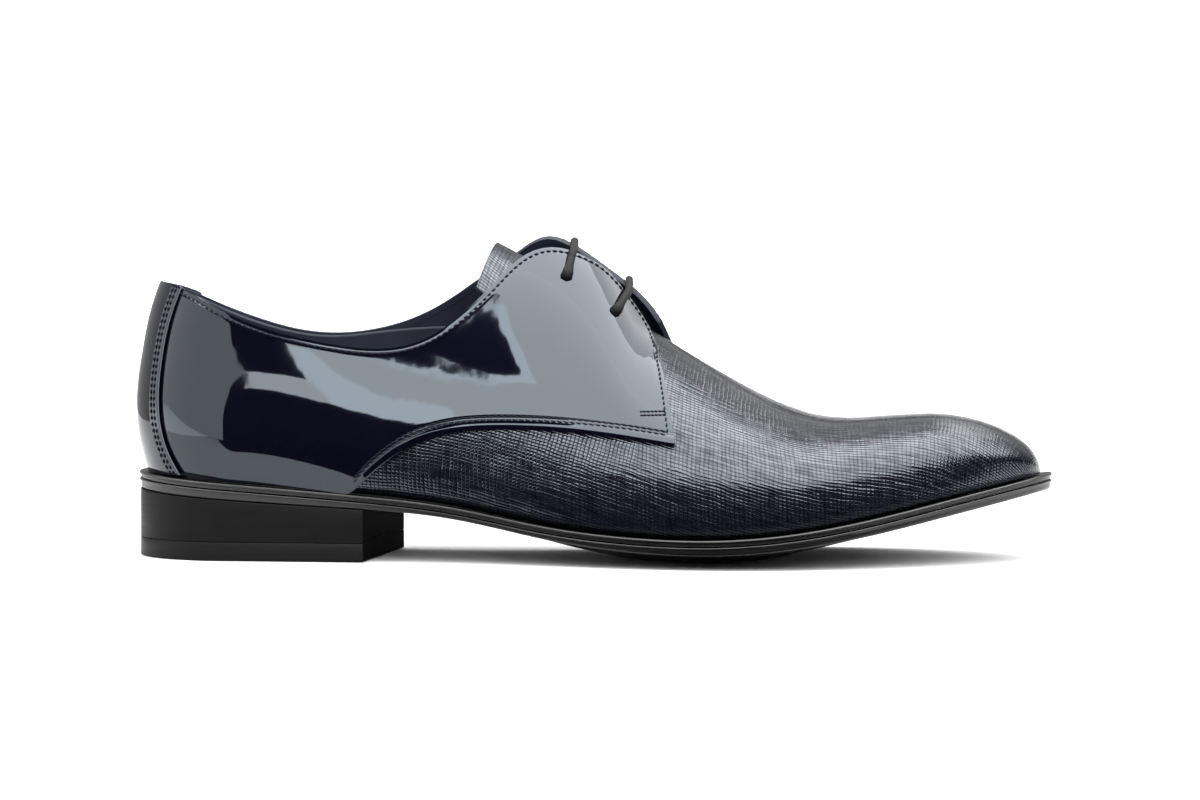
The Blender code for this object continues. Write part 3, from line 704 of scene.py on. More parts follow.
def rubber():
    made, tree, shader = new_material("black_rubber", (0.001, 0.001, 0.001), 0.5, specular_ior_level=0.13)
    nodes = Nodes(tree)
    grain = nodes.noise(nodes.coordinates(), 900.0, 3.0)
    nodes.link(nodes.bump(grain, 0.2, 0.08), shader.inputs["Normal"])
    wear_and_painted_shade = nodes.noise(nodes.coordinates((0.1, 0.1, 1)), 300.0)
    nodes.link(nodes.range(wear_and_painted_shade, 0.35, 0.55), shader.inputs["Roughness"])
    return made


def waxed_cord():
    made, tree, shader = new_material("waxed_cord", (0.002, 0.002, 0.0025), 0.6, specular_ior_level=0.12)
    nodes = Nodes(tree)
    fuzz = nodes.noise(nodes.coordinates(), 1500.0, 2.0)
    nodes.link(nodes.bump(fuzz, 0.25, 0.08), shader.inputs["Normal"])
    nodes.link(nodes.range(fuzz, 0.5, 0.7), shader.inputs["Roughness"])
    # Painted shade: the cord's colour runs from dark at its bottom to lighter at its top, as if lit from
    # above
    split = nodes.add("ShaderNodeSeparateXYZ")
    nodes.link(nodes.coordinates(kind="Generated"), split.inputs["Vector"])
    wear_and_painted_shade = nodes.math("ADD", split.outputs["Z"], nodes.math("MULTIPLY", fuzz, 0.3))
    colour = nodes.ramp(wear_and_painted_shade, (0.35, (0.0012, 0.0012, 0.0016)), (1.0, (0.0085, 0.008, 0.0076)))
    nodes.link(colour, shader.inputs["Base Color"])
    return made


def thread():
    made, tree, shader = new_material("thread", (0.002, 0.0024, 0.007), 0.6, specular_ior_level=0.12)
    nodes = Nodes(tree)
    twist = nodes.noise(nodes.coordinates(), 2500.0, 1.0)
    nodes.link(nodes.bump(twist, 0.4, 0.06), shader.inputs["Normal"])
    colour = nodes.ramp(twist, (0.3, (0.0014, 0.0017, 0.005)), (0.7, (0.0028, 0.0034, 0.010)))
    nodes.link(colour, shader.inputs["Base Color"])
    return made


PATENT = patent_leather()
WOVEN = woven_leather()
LINING = lining_leather()
SOLE_EDGE = sole_leather("black_sole", 0.34, 2600.0, 0.5)
HEEL_STACK = sole_leather("heel_stack", 0.42, 1300.0, 0.1)
HEEL_BREAST = sole_leather("heel_breast", 0.7, 1300.0, 0.006)
RUBBER = rubber()
CORD = waxed_cord()
THREAD = thread()


# The upper: vamp outside, lining inside
def upper_stations(count):
    regular = [along(i / count, UPPER_BACK, UPPER_TIP) for i in range(count + 1)]
    throat = [THROAT_FRONT + d for d in THROAT_STATIONS]
    kept = [x for x in regular if min(abs(x - t) for t in throat) > THROAT_CLEAR]
    return sorted(kept + throat)


def upper_column(side, x, low_rows, high_rows):
    top = 1.0
    if x < THROAT_FRONT:
        top = min(rise_at(side, x, MOUTH[side_name(side)](x)), MOUTH_LIMIT)
    low = [wall_point(side, x, -1 + j / low_rows) for j in range(low_rows)]
    return low + [wall_point(side, x, top * j / high_rows) for j in range(high_rows + 1)]


def half_girth(side, x):
    """Length round one side of the section, from the foot to the ridge."""
    low_rows, high_rows = 4, 16
    line = [wall_point(side, x, -1 + j / low_rows) for j in range(low_rows)]
    line += [wall_point(side, x, j / high_rows) for j in range(high_rows + 1)]
    return sum((b - a).length for a, b in zip(line, line[1:]))


def weave_map(grid, sides, stations):
    """Where each point of a grid lies on the flat leather: along the shoe, and down from the ridge."""
    full_girth, start_ahead, uvs = 100.0, 8.0, []
    points = np.array([[tuple(p) for p in column] for column in grid])
    start_x = THROAT_FRONT + start_ahead
    near = [abs(x - start_x) if side == sides[0] else math.inf for x, side in zip(stations, sides)]
    along_row = run_along(points)
    along_row -= along_row[int(np.argmin(near))]
    up = run_along(points, axis=1)
    for i, (side, x) in enumerate(zip(sides, stations)):
        follow_ridge = FOLLOW_BACK + FOLLOW_GAIN * smooth_step(x, *FOLLOW_RUN)
        start = follow_ridge * (full_girth - half_girth(side, x)) - full_girth
        uvs += [(along_row[i, j], (start + up[i, j]) * -side) for j in range(points.shape[1])]
    return uvs


def make_upper():
    count, low_rows, high_rows = 120, 8, 34
    stations = upper_stations(count)
    grid = [upper_column(LATERAL, x, low_rows, high_rows) for x in reversed(stations)]
    grid += [upper_column(MEDIAL, x, low_rows, high_rows) for x in stations[1:]]
    sides = [LATERAL] * len(stations) + [MEDIAL] * (len(stations) - 1)
    places = [*reversed(stations), *stations[1:]]
    rows = low_rows + high_rows + 1
    points = [p for column in grid for p in column]
    mesh = mesh_from("upper", points, grid_faces(len(grid), rows), weave_map(grid, sides, places))
    piece = add_piece("vamp_and_lining", mesh, (WOVEN, LINING), ("upper",))
    return thicken(piece, -UPPER_WALL, rim_slot=1)


# The quarters
def quarter_low(side, x):
    foot = wall_point(side, x, -1).z + LAYER_RISE
    return max(LOWER_EDGE["height"](x), foot) if x > QUARTER_FOOT else foot


def quarter_line(side, x_top):
    """Fine line of points up a quarter from its lower edge to its collar or lacing edge."""
    fine = 160
    lean = max((x_top - LEAN_BACK) / (FACING_FRONT[side] - LEAN_BACK), 0) ** 2
    x_low = x_top + (QUARTER_CORNER[side] - FACING_FRONT[side]) * lean
    low, high = quarter_low(side, x_low), TOPLINE[side_name(side)](x_top)
    line = []
    for j in range(fine + 1):
        share = j / fine
        x = x_low + (x_top - x_low) * share + FRONT_BOW * lean * 4 * share * (1 - share)
        height = low + (high - low) * share
        line.append(wall_point(side, x, rise_at(side, x, height, True), True))
    return line


# Distances of the close rows from a quarter's lower edge, and from its upper and front edges
QUARTER_LOW = (0.0, 0.5, 1.0, 1.5, 1.85, 2.2, 2.5, 2.8, 3.1, 3.4, 3.75, 4.2, 5.0, 6.4)
QUARTER_EDGE = (0.0, 0.5, 0.9, 1.25, 1.6, 1.95, 2.4, 3.2, 4.6)


def edge_slant(side, x_top, line):
    """How much longer a distance from the upper edge is along a line up the quarter than straight in."""
    step, below, limit = 0.4, 8, 4.0
    height = TOPLINE[side_name(side)](x_top - step)
    behind = wall_point(side, x_top - step, rise_at(side, x_top - step, height, True), True)
    edge, up = line[-1] - behind, line[-1] - line[-below]
    return min(edge.length * up.length / edge.cross(up).length, limit)


def quarter_grid(side):
    """Grid of a quarter's form, with rows and columns set close along its edges, and x of each column."""
    front, middle = FACING_FRONT[side], 34
    back = UPPER_BACK + SEAM_CLEAR
    edge = [front - d for d in QUARTER_EDGE]
    first, last = share_of(back, UPPER_BACK, UPPER_TIP), share_of(edge[-1], UPPER_BACK, UPPER_TIP)
    count = 96
    places = [along(first + (last - first) * i / count, UPPER_BACK, UPPER_TIP) for i in range(count)]
    places += list(reversed(edge))
    grid = []
    for x in places:
        line = quarter_line(side, x)
        length = resample(line, [0])[1]
        slant = edge_slant(side, x, line)
        points, _ = resample(line, spaced(length, QUARTER_LOW, [d * slant for d in QUARTER_EDGE], middle))
        grid.append([Vector(p) for p in points])
    return grid, places


def offset_grid(grid, out, flip):
    """Points of a grid moved outwards by an amount, or by one amount per point."""
    points, normals = grid_normals(grid)
    return points + normals * (np.asarray(out)[..., None] if np.ndim(out) else out) * (-1 if flip else 1)


def quarter_bend(point):
    """How far a point of a quarter lies out of the plain form."""
    run = SWELL_BEHIND if point.x < SWELL_AT else SWELL_AHEAD
    swell = SWELL_HIGH * math.exp(-(((point.x - SWELL_AT) / run) ** 2))
    return TWIST["lean"](point.x) * (point.z - TWIST_LEVEL) + swell


def make_quarter(side):
    name = "quarter_" + side_name(side)
    grid, places = quarter_grid(side)
    rows, corner_rows = len(grid[0]), 4
    dent = np.zeros((len(grid), rows))
    dent[:, rows - 1 - QUARTER_EDGE.index(EDGE_ROW)] = STITCH_DENT
    dent[len(grid) - 1 - QUARTER_EDGE.index(EDGE_ROW), corner_rows:-corner_rows] = STITCH_DENT
    free = [i for i, x in enumerate(places) if x > QUARTER_FOOT + DENT_START]
    for distance in LOWER_ROWS:
        dent[free, QUARTER_LOW.index(distance)] = STITCH_DENT
    flip = side == LATERAL
    bend = np.array([[quarter_bend(p) for p in column] for column in grid])
    lip = np.zeros((len(grid), rows))
    for distance, rise in QUARTER_LIP:
        lip[free, QUARTER_LOW.index(distance)] = rise
    points = offset_grid(grid, QUARTER_GAP - dent + lip + bend, flip)
    if side == LATERAL:
        points = points[::-1]
    mesh = mesh_from(name, points.reshape(-1, 3), grid_faces(len(grid), rows), weld=False)
    piece = add_piece(name + "_leather", mesh, (PATENT, LINING), (name,))
    thicken(piece, QUARTER_WALL, rim_slot=0 if side == LATERAL else 1)
    punch_eyelets(piece, side)
    round_edges(piece, QUARTER_ROUND)
    thread_out = QUARTER_GAP + QUARTER_WALL - STITCH_DENT + THREAD_RISE
    stitch_quarter(side, offset_grid(grid, thread_out + bend, flip), places)
    return piece


def punch_eyelets(piece, side):
    """Cuts the holes and leaves the result in the piece's own mesh."""
    pins = []
    for pair in EYELETS:
        centre, normal = face_at(side, *pair[side], QUARTER_GAP + QUARTER_WALL / 2)
        form = bmesh.new()
        bmesh.ops.create_cone(
            form,
            cap_ends=True,
            segments=EYELET_SIDES,
            radius1=EYELET_RADIUS * MM,
            radius2=EYELET_RADIUS * MM,
            depth=EYELET_PIN * MM,
        )
        mesh = bpy.data.meshes.new("pin")
        form.to_mesh(mesh)
        form.free()
        pin = bpy.data.objects.new("pin", mesh)
        bpy.context.scene.collection.objects.link(pin)
        pin.location = world(centre)
        pin.rotation_euler = normal.to_track_quat("Z", "Y").to_euler()
        hole = piece.modifiers.new("eyelet", "BOOLEAN")
        hole.operation = "DIFFERENCE"
        hole.solver = "EXACT"
        hole.object = pin
        pins.append(pin)
    bpy.context.view_layer.update()
    whole = piece.evaluated_get(bpy.context.evaluated_depsgraph_get())
    cut = bpy.data.meshes.new_from_object(whole)
    piece.modifiers.clear()
    piece.data = cut
    for pin in pins:
        bpy.data.objects.remove(pin)


# Stitches
def capsule(start, end, out, radius):
    """Points and faces of one stitch: a bowed thread that dives in at both ends."""
    rings, sides = 6, 6
    arch, sunk, thin = 1.5, 0.55, 0.55
    run = end - start
    across = run.cross(out).normalized()
    points, faces = [], []
    for i in range(rings + 1):
        t = i / rings
        bow = math.sin(math.pi * t)
        centre = start + run * t + out * (radius * arch * (bow - sunk))
        size = radius * (thin + (1 - thin) * bow)
        for k in range(sides):
            turn = 2 * math.pi * k / sides
            points.append(centre + across * (math.cos(turn) * size) + out * (math.sin(turn) * size))
    for i in range(rings):
        for k in range(sides):
            n = (k + 1) % sides
            a, b = i * sides, (i + 1) * sides
            faces.append((a + k, a + n, b + n, b + k))
    faces.append(tuple(range(sides)))
    faces.append(tuple(rings * sides + k for k in reversed(range(sides))))
    return points, faces


def stitch_mesh(name, lines):
    """One mesh of all the stitches along several (points, outward directions, pitch, share) lines."""
    points, faces = [], []
    for path, outs, pitch, share in lines:
        path, outs = np.asarray(path, float), np.asarray(outs, float)
        run = run_along(path)
        for number in range(int(run[-1] / pitch)):
            ends = (number + STITCH_LEAD) * pitch, (number + STITCH_LEAD + share) * pitch
            first, last = (Vector([np.interp(d, run, path[:, k]) for k in range(3)]) for d in ends)
            out = Vector([np.interp(sum(ends) / 2, run, outs[:, k]) for k in range(3)]).normalized()
            slant = (last - first).cross(out) * STITCH_SLANT / 2
            first, last = first - slant, last + slant
            made, made_faces = capsule(first, last, out, THREAD_RADIUS)
            faces += [tuple(len(points) + k for k in face) for face in made_faces]
            points += made
    return add_piece(name, mesh_from(name, points, faces, weld=False), (THREAD,))


def stitch_quarter(side, face, places):
    """Rows along the collar and lacing edge, down the front edge and along the lower edge."""
    columns, rows, _ = face.shape
    normals = grid_normals(face)[1] * side
    top = rows - 1 - QUARTER_EDGE.index(EDGE_ROW)
    front = columns - 1 - QUARTER_EDGE.index(EDGE_ROW)
    low = QUARTER_LOW.index(LOWER_ROWS[0])
    behind_strip = next(i for i, x in enumerate(places) if x > UPPER_BACK + STRIP_CLEAR)
    leaving_sole = next(i for i, x in enumerate(places) if x > QUARTER_FOOT + ROW_START)
    collar, down = slice(behind_strip, front + 1), slice(top, low - 1, -1)
    lines = [
        (face[collar, top], normals[collar, top], STITCH_PITCH, STITCH_SHARE),
        (face[front, down], normals[front, down], STITCH_PITCH, STITCH_SHARE),
    ]
    for distance in LOWER_ROWS:
        row = QUARTER_LOW.index(distance)
        span = slice(leaving_sole, front + 1)
        lines.append((face[span, row], normals[span, row], STITCH_PITCH, CLOSE_SHARE))
    outer = QUARTER_GAP + QUARTER_WALL
    for height in TACK_HEIGHTS:
        start = np.interp(height, face[front, :, 2], face[front, :, 0])
        tack = [face_at(side, start - back, height, outer) for back in np.linspace(0, TACK_LENGTH, 9)]
        lines.append((*zip(*[(tuple(p), tuple(n)) for p, n in tack]), TACK_PITCH, CLOSE_SHARE))
    stitch_mesh("stitches_" + side_name(side), lines)


# The back strip
STRIP_SIDE = (0.0, 0.8, 1.2, 1.6, 2.0, 2.4, 2.8, 3.2, 3.6, 4.0, 4.8)


def make_back_strip():
    rows, fine, middle = 44, 160, 20
    top_reach = STRIP_EDGE["reach"](STRIP_TOP)
    grid = []
    foot = wall_point(LATERAL, UPPER_BACK, -1).z + LAYER_RISE
    for j in range(rows + 1):
        line = []
        for i in range(fine + 1):
            spread = 2 * i / fine - 1
            side = MEDIAL if spread > 0 else LATERAL
            top = TOPLINE[side_name(side)](UPPER_BACK + top_reach * spread**2) + STRIP_RISE
            height = foot + (top - foot) * j / rows
            x = UPPER_BACK + STRIP_EDGE["reach"](height) * spread**2
            line.append(wall_point(side, x, rise_at(side, x, height)))
        length = resample(line, [0])[1]
        points, _ = resample(line, spaced(length, STRIP_SIDE, STRIP_SIDE, middle))
        grid.append([Vector(p) for p in points])
    grid = [list(column) for column in zip(*grid)]
    columns = len(grid)
    dent = np.zeros((columns, rows + 1))
    for distance in STRIP_ROWS:
        dent[[STRIP_SIDE.index(distance), columns - 1 - STRIP_SIDE.index(distance)]] = STITCH_DENT
    under = QUARTER_GAP + QUARTER_WALL + GAP
    points = offset_grid(grid, under - dent, False)
    mesh = mesh_from("back_strip", points.reshape(-1, 3), grid_faces(columns, rows + 1), weld=False)
    piece = add_piece("back_strip_leather", mesh, (PATENT, LINING), ("back_strip",))
    thicken(piece, STRIP_WALL, bevel=LAYER_ROUND)
    face = offset_grid(grid, under + STRIP_WALL - STITCH_DENT + THREAD_RISE, False)
    normals = grid_normals(face)[1]
    lines = []
    for distance in STRIP_ROWS:
        for i in (STRIP_SIDE.index(distance), columns - 1 - STRIP_SIDE.index(distance)):
            lines.append((face[i], normals[i], STITCH_PITCH, STITCH_SHARE))
    stitch_mesh("stitches_back_strip", lines)
    return piece


# The tongue
def make_tongue():
    columns, rows = 48, 60
    grid = []
    for i in range(columns + 1):
        spread = 2 * i / columns - 1
        side = MEDIAL if spread > 0 else LATERAL
        x_top = TONGUE_TOP + (TONGUE_TOP_SIDE - TONGUE_TOP) * spread**2
        column = []
        for j in range(rows + 1):
            x = x_top + (TONGUE_FRONT - x_top) * j / rows
            belly_width = section(side, x, False)[4]
            half_width = abs(spread) * TONGUE["half_width"](x)
            arch = min(half_width / belly_width, 1) ** (LAST["fullness"](x) / 2)
            column.append(wall_point(side, x, math.acos(arch) * 2 / math.pi))
        grid.append(column)
    points = offset_grid(grid, -(UPPER_WALL + TONGUE_GAP), False)
    across, down = run_along(points), run_along(points, axis=1)
    uvs = [(down[i, j], across[i, j]) for i in range(columns + 1) for j in range(rows + 1)]
    mesh = mesh_from("tongue", points.reshape(-1, 3), grid_faces(columns + 1, rows + 1), uvs, weld=False)
    piece = add_piece("tongue_leather", mesh, (WOVEN, LINING), ("tongue",))
    return thicken(piece, -TONGUE_WALL, rim_slot=1, bevel=LAYER_ROUND)


# The sole
def plate_loop(ends, ribs, top, bottom, rows):
    """Loop of points round a plate between two edge functions, each taking how proud the rim is."""
    lateral, medial = ends

    def face(proud, height):
        points = [lateral(proud).lerp(medial(proud), k / rows) for k in range(rows + 1)]
        return [Vector((p.x, p.y, height(p.x, p.y))) for p in points]

    def rim(edge):
        points = []
        for share, proud in ribs[1:-1]:
            p = edge(proud)
            low, high = bottom(p.x, p.y), top(p.x, p.y)
            points.append(Vector((p.x, p.y, low + (high - low) * share)))
        return points

    over, below = face(ribs[0][1], top), face(ribs[-1][1], bottom)
    return over + rim(medial) + below[::-1] + rim(lateral)[::-1]


def loft(name, loops, materials, replaces, closed=False):
    """Closed solid through loops of equal length, capped at an end that isn't a line."""
    count = len(loops[0])
    points = [p for loop in loops for p in loop]
    faces = []
    for i in range(len(loops) if closed else len(loops) - 1):
        a, b = i * count, (i + 1) % len(loops) * count
        faces += [(a + k, a + (k + 1) % count, b + (k + 1) % count, b + k) for k in range(count)]
    mesh = mesh_from(name, points, faces)
    form = bmesh.new()
    form.from_mesh(mesh)
    bmesh.ops.holes_fill(form, edges=[e for e in form.edges if e.is_boundary], sides=0)
    bmesh.ops.recalc_face_normals(form, faces=form.faces)
    form.to_mesh(mesh)
    form.free()
    mesh.shade_smooth()
    mesh.set_sharp_from_angle(angle=math.radians(SHARP_DEGREES))
    return add_piece(name, mesh, materials, replaces)


def rim_at(side, q, inset=0.0):
    return lambda proud: sole_rim(side, q, proud - inset)


def make_outsole():
    stations, rows = 150, 16
    loops = []
    for i in range(stations + 1):
        ends = [rim_at(side, i / stations) for side in (LATERAL, MEDIAL)]
        loops.append(plate_loop(ends, OUTSOLE_RIBS, outsole_top, outsole_bottom, rows))
    return loft("outsole_leather", loops, (SOLE_EDGE,), ("outsole",))


def make_welt():
    stations = 150
    turns = [(LATERAL, i / stations) for i in range(stations)]
    turns += [(MEDIAL, 1 - i / stations) for i in range(stations)]
    loops = []
    for side, q in turns:
        loop = []
        for share, proud in (*WELT_RIBS, (0.02, -WELT_WIDTH), (1.0, -WELT_WIDTH)):
            p = sole_rim(side, q, proud)
            loop.append(Vector((p.x, p.y, sole_top(p.x, p.y) - WELT_THICK * (1 - share))))
        loops.append(loop)
    return loft("welt_strip", loops, (SOLE_EDGE,), ("welt",), closed=True)


def make_insole():
    stations, rows = 90, 14

    def bottom(x, y):
        return sole_top(x, y) + GAP

    def top(x, y):
        return bottom(x, y) + INSOLE_THICK

    loops = []
    for i in range(stations + 1):
        ends = [rim_at(side, i / stations, INSOLE_INSET) for side in (LATERAL, MEDIAL)]
        loops.append(plate_loop(ends, INSOLE_RIM, top, bottom, rows))
    return loft("insole_sock", loops, (LINING,), ("insole",))


def heel_loops(top, bottom):
    stations, rows = 60, 12
    fronts = {side: share_of(x, 0, SOLE_LENGTH) for side, x in BREAST.items()}
    loops = []
    for i in range(stations + 1):
        share = i / stations
        ends = [rim_at(side, fronts[side] * share, HEEL_INSET) for side in (LATERAL, MEDIAL)]
        loop = plate_loop(ends, HEEL_RIM, top, bottom, rows)
        for point in loop:
            across = min(abs(point.y) / SOLE["lateral"](point.x), 1)
            point.x -= BREAST_BOW * share**4 * (1 - across**2)
        loops.append(loop)
    return loops


def make_heel():
    def seat(x, y):
        return outsole_bottom(x, y) - SEAT_GAP

    def block_bottom(x, y):
        return TOP_PIECE_THICK + LIFT_GAP

    def lift_top(x, y):
        return TOP_PIECE_THICK

    def floor(x, y):
        return 0.0

    stack, lift = heel_loops(seat, block_bottom), heel_loops(lift_top, floor)
    pieces = [
        loft("heel_stack", stack, (HEEL_STACK, HEEL_BREAST), ("heel_block",)),
        loft("heel_rubber", lift, (RUBBER, HEEL_BREAST), ("heel_top_piece",)),
    ]
    for piece in pieces:
        for face in piece.data.polygons:
            face.material_index = 1 if face.normal.x > BREAST_FACING else 0


# The laces
def smooth_route(points, per_span):
    ends = [2 * points[0] - points[1], *points, 2 * points[-1] - points[-2]]
    made = []
    for a, b, c, d in zip(ends, ends[1:], ends[2:], ends[3:]):
        for k in range(per_span):
            t = k / per_span
            square, cube = 2 * a - 5 * b + 4 * c - d, 3 * (b - c) + d - a
            made.append((2 * b + (c - a) * t + square * t**2 + cube * t**3) / 2)
    return [*made, points[-1]]


def lace_half(side, x, height, lean):
    """Route of a lace bar on one side, from inside its eyelet to over the lacing edge."""
    outer = QUARTER_GAP + QUARTER_WALL
    clear = LACE_RADIUS + LACE_CLEAR
    eyelet, normal = face_at(side, x, height, outer)
    edge_height = TOPLINE[side_name(side)](x + lean)
    toward_edge = (face_at(side, x + lean, edge_height, outer)[0] - eyelet).normalized()
    route = [eyelet - normal * depth for depth in LACE_DEPTHS]
    for degrees in (0, 45, 90):
        turn = math.radians(degrees)
        along_face, off_face = LACE_BEND * (1 - math.cos(turn)), LACE_BEND * math.sin(turn)
        route.append(eyelet + toward_edge * along_face + normal * (off_face + clear - LACE_BEND))
    for share in LACE_SHARES:
        over = height + (edge_height - height) * share
        route.append(face_at(side, x + lean * share, over, outer + clear)[0])
    return route


def make_lace(name, pair, lean, node):
    """A round waxed lace with a braided face, spread where it turns out of its holes."""
    sides, ring_step, strands, braid_pitch, relief, level = 24, 0.14, 8, 4.2, 0.06, 0.8
    spread, spread_at, spread_run = 0.45, 5.0, 2.6
    lateral, medial = (lace_half(side, *pair[side], lean[side]) for side in (LATERAL, MEDIAL))
    crest = (lateral[-1] + medial[-1]) / 2 + Vector((0, 0, LACE_ARCH))
    coarse = smooth_route([*lateral, crest, *medial[::-1]], 12)
    length = resample(coarse, [0])[1]
    path, _ = resample(coarse, np.linspace(0, length, int(length / ring_step)))
    path = [Vector(p) for p in path]
    across = Vector((1, 0, 0))
    points = []
    for i, centre in enumerate(path):
        run = (path[min(i + 1, len(path) - 1)] - path[max(i - 1, 0)]).normalized()
        across = (across - run * across.dot(run)).normalized()
        up = run.cross(across)
        distance = i * ring_step
        from_hole = (min(distance, length - distance) - spread_at) / spread_run
        wide = 1 + spread * math.exp(-(from_hole**2))
        for k in range(sides):
            turn = 2 * math.pi * k / sides
            left = math.cos(strands / 2 * turn + 2 * math.pi * distance / braid_pitch)
            right = math.cos(strands / 2 * turn - 2 * math.pi * distance / braid_pitch)
            size = LACE_RADIUS * (1 + relief * (max(abs(left), abs(right)) - level))
            points.append(centre + across * (math.cos(turn) * size * wide) + up * (math.sin(turn) * size))
    faces = []
    for i in range(len(path) - 1):
        a, b = i * sides, (i + 1) * sides
        faces += [(a + k, b + k, b + (k + 1) % sides, a + (k + 1) % sides) for k in range(sides)]
    faces.append(tuple(range(sides)))
    faces.append(tuple((len(path) - 1) * sides + k for k in reversed(range(sides))))
    return add_piece(name, mesh_from(name, points, faces, weld=False), (CORD,), (node,))


make_outsole()
make_welt()
make_heel()
make_insole()
make_upper()
make_tongue()
make_quarter(LATERAL)
make_quarter(MEDIAL)
make_back_strip()
make_lace("lace_upper", EYELETS[0], LACE_LEAN[0], "lace_bar_upper")
make_lace("lace_lower", EYELETS[1], LACE_LEAN[1], "lace_bar_lower")


# The stage
CAMERA_AZIMUTH, CAMERA_ELEVATION, CAMERA_DISTANCE = 7.0, 3.3, 2.0
AIM = world((154.5, 0.0, 52.0))
LENS, SENSOR = 181.2, 36.0


def add_sheet(name, points, faces, albedo):
    """Pale paper through points in metres."""
    mesh = bpy.data.meshes.new(name)
    mesh.from_pydata(points, [], faces)
    mesh.shade_smooth()
    sheet = bpy.data.objects.new(name, mesh)
    bpy.context.scene.collection.objects.link(sheet)
    paper, _, _ = new_material(name + "_paper", (albedo, albedo, albedo), 0.7, specular_ior_level=0.1)
    mesh.materials.append(paper)
    return sheet


def add_floor():
    """A floor in two parts and a sweep behind. The leather doesn't mirror the part before the shoe."""
    reach, level, albedo = 3.0, -0.0002, 0.5
    front, back, radius, height, steps = -4.0, 2.6, 0.25, 0.3, 24
    border = [(-reach, -0.22), (-0.19, -0.22), (-0.06, -0.05), (reach, -0.05)]
    near = [*border, (reach, front), (-reach, front)]
    far = [*border, (reach, back), (-reach, back)]
    turned_up = tuple(reversed(range(len(near))))
    add_sheet("floor_far", [(x, y, level) for x, y in far], [tuple(range(len(far)))], albedo)
    floor_near = add_sheet("floor_near", [(x, y, level) for x, y in near], [turned_up], albedo)
    floor_near.visible_glossy = False
    turns = [math.pi / 2 * k / steps for k in range(steps + 1)]
    profile = [(back + radius * math.sin(t), level + radius * (1 - math.cos(t))) for t in turns]
    profile.append((back + radius, height))
    points = [(x, y, z) for y, z in profile for x in (-reach, reach)]
    faces = [(2 * i, 2 * i + 1, 2 * i + 3, 2 * i + 2) for i in range(len(profile) - 1)]
    add_sheet("sweep", points, faces, albedo)


def add_panel(name, corner, along, up, radiance):
    """Rectangular soft light from one corner and its two edges, which shines away from along x up."""
    along, up = Vector(along), Vector(up)
    light = bpy.data.lights.new(name, "AREA")
    light.shape = "RECTANGLE"
    light.size, light.size_y = along.length, up.length
    light.energy = radiance * math.pi * along.length * up.length
    lamp = bpy.data.objects.new(name, light)
    bpy.context.scene.collection.objects.link(lamp)
    right, out = along.normalized(), along.cross(up).normalized()
    lamp.matrix_world = Matrix((right, out.cross(right), out)).transposed().to_4x4()
    lamp.location = Vector(corner) + along / 2 + up / 2
    lamp.visible_camera = False
    return lamp


def add_wall(name, start, run, outlines, radiance, rising=None, colour=(1, 1, 1)):
    """Glowing upright sheets, each an outline of millimetres along a run on the floor, and up.

    rising is (low, high, radiance) where the glow changes with height.
    """
    points, faces = [], []
    for outline in outlines:
        faces.append(tuple(range(len(points), len(points) + len(outline))))
        points += [(start[0] + run[0] * u * MM, start[1] + run[1] * u * MM, z * MM) for u, z in outline]
    mesh = bpy.data.meshes.new(name)
    mesh.from_pydata(points, [], faces)
    glow = {"emission_strength": radiance, "emission_color": (*colour, 1)}
    made, tree, shader = new_material(name + "_glow", (0, 0, 0), 1.0, **glow)
    if rising:
        nodes = Nodes(tree)
        split = nodes.add("ShaderNodeSeparateXYZ")
        nodes.link(nodes.add("ShaderNodeNewGeometry").outputs["Position"], split.inputs["Vector"])
        strength = nodes.range(split.outputs["Z"], radiance, rising[2])
        strength.node.inputs["From Min"].default_value = rising[0]
        strength.node.inputs["From Max"].default_value = rising[1]
        nodes.link(strength, shader.inputs["Emission Strength"])
    mesh.materials.append(made)
    wall = bpy.data.objects.new(name, mesh)
    bpy.context.scene.collection.objects.link(wall)
    wall.visible_camera = False
    return wall


# The dark gap in the wall that shows on the quarter, from its top round its front to its tail, and the outer
# edge of its bright rim, from the tail back to the top
GAP_EDGE = (
    (-94, 340), (-93, 300), (-92.5, 278), (-88.5, 222), (-86, 200), (-85, 159), (-87, 153),
    (-101.5, 139.5), (-104, 130), (-105.5, 125), (-109, 119.5), (-111, 115),
)
RIM_EDGE = (
    (-112.5, 105.5), (-109, 115), (-103.5, 125), (-100.5, 131), (-90, 141.5), (-77, 150),
    (-75, 190), (-80, 236), (-86, 300),
)
# Outlines of the glowing sheets, in millimetres along each sheet and up
WALL_SHEETS = (
    ((-146, 54), (-129, 54), (-129, 73), (-146, 73)),
    ((-129, 54), (450, 54), (450, 550), (-129, 550), (-129, 340), *GAP_EDGE, (-129, 115)),
)
RIM_SHEETS = (
    (*GAP_EDGE[1:], *RIM_EDGE),
    ((-129, 54), (-117.5, 54), (-118, 72), (-120.5, 90), (-123, 110), (-129, 110)),
)
HEEL_SHEET = (
    (-230, 0), (-168, 0), (-166, 20), (-154, 46), (-146, 72), (-152, 100),
    (-178, 165), (-186, 250), (-230, 250),
)
HEEL_BACK_SHEET = ((0, 0), (1100, 0), (1100, 400), (0, 400))
FACING_SHEET = (
    (118, 160), (255, 255), (420, 455), (800, 860), (480, 860), (250, 600), (160, 300), (118, 230),
)
BACK_SHEET = ((0, 250), (3000, 250), (3000, 1300), (0, 1300))


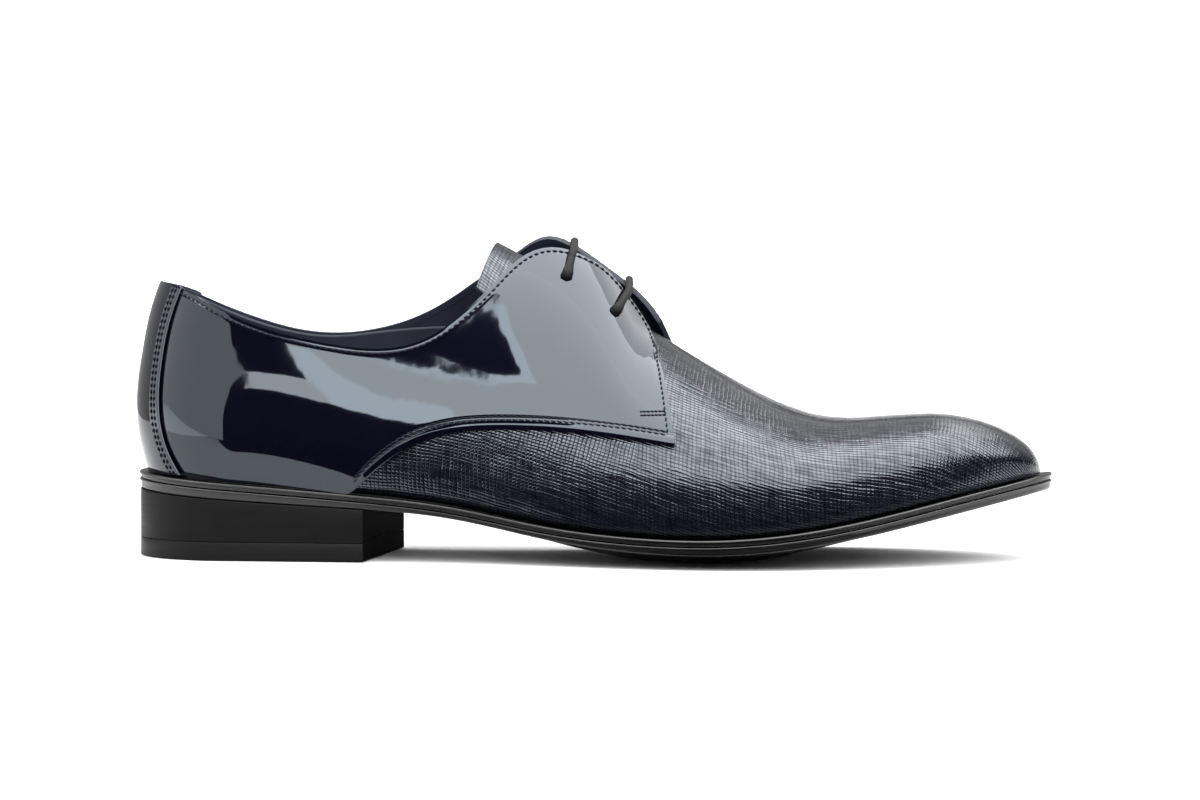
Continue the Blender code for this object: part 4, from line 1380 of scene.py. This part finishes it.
def add_lights():
    """Soft lamps and glowing sheets round the shoe, none of which the camera sees.

    backdrop and overhead_far don't show in the gloss. heel_back and facing_glow show nowhere else.
    """
    add_panel("overhead", (-1.0, -0.60, 0.90), (3.6, 0, 0), (0, 1.02, 0.05), 8.0)
    add_panel("overhead_back", (-1.0, 0.42, 0.95), (3.6, 0, 0), (0, 0.8, 0.03), 0.85)
    backdrop = add_panel("backdrop", (-1.5, 0.35, 1.25), (3.0, 0, 0), (0, 0.1, 0.5), 8.0)
    overhead_far = add_panel("overhead_far", (-2.0, 0.95, 1.2), (4.0, 0, 0), (0, 1.85, 0), 6.0)
    overhead_far.data.spread = math.radians(70)
    for lamp in (backdrop, overhead_far):
        lamp.visible_glossy = False
    add_wall("front_wall", (0, -0.22), (1, 0), WALL_SHEETS, 6.6, (0.22, 0.55, 8.2))
    add_wall("gap_rim", (0, -0.2199), (1, 0), RIM_SHEETS, 8.8, colour=(0.9, 0.96, 1.0))
    add_wall("heel_wall", (0, -0.22), (1, 0), (HEEL_SHEET,), 2.0)
    add_panel("heel_side", (-0.5, 0.1, 0.0), (0.27, -0.32, 0), (0, 0, 0.25), 2.0)
    heel_back = add_wall("heel_back", (-0.5, 1.2), (0, -1), (HEEL_BACK_SHEET,), 0.5)
    facing_glow = add_wall("facing_glow", (0, 0.25), (1, 0), (FACING_SHEET,), 1.8, (0.2, 0.3, 4.3))
    add_wall("back_wall", (-1.5, 1.3), (1, 0), (BACK_SHEET,), 0.5)
    for card in (heel_back, facing_glow):
        card.visible_diffuse = False
        card.visible_shadow = False


def add_camera():
    a, e = math.radians(CAMERA_AZIMUTH), math.radians(CAMERA_ELEVATION)
    toward = Vector((math.sin(a) * math.cos(e), -math.cos(a) * math.cos(e), math.sin(e)))
    data = bpy.data.cameras.new("camera")
    data.lens = LENS
    data.sensor_width = SENSOR
    camera = bpy.data.objects.new("camera", data)
    camera.location = AIM + toward * CAMERA_DISTANCE
    camera.rotation_euler = toward.to_track_quat("Z", "Y").to_euler()
    bpy.context.scene.collection.objects.link(camera)
    bpy.context.scene.camera = camera


def add_world():
    made = bpy.data.worlds.new("studio")
    made.use_nodes = True
    sky = made.node_tree.nodes["Background"]
    sky.inputs["Color"].default_value = (0.9, 0.93, 1.0, 1)
    sky.inputs["Strength"].default_value = 0.02
    bpy.context.scene.world = made
    bpy.context.scene.view_settings.view_transform = "Standard"


add_floor()
add_world()
add_lights()
add_camera()
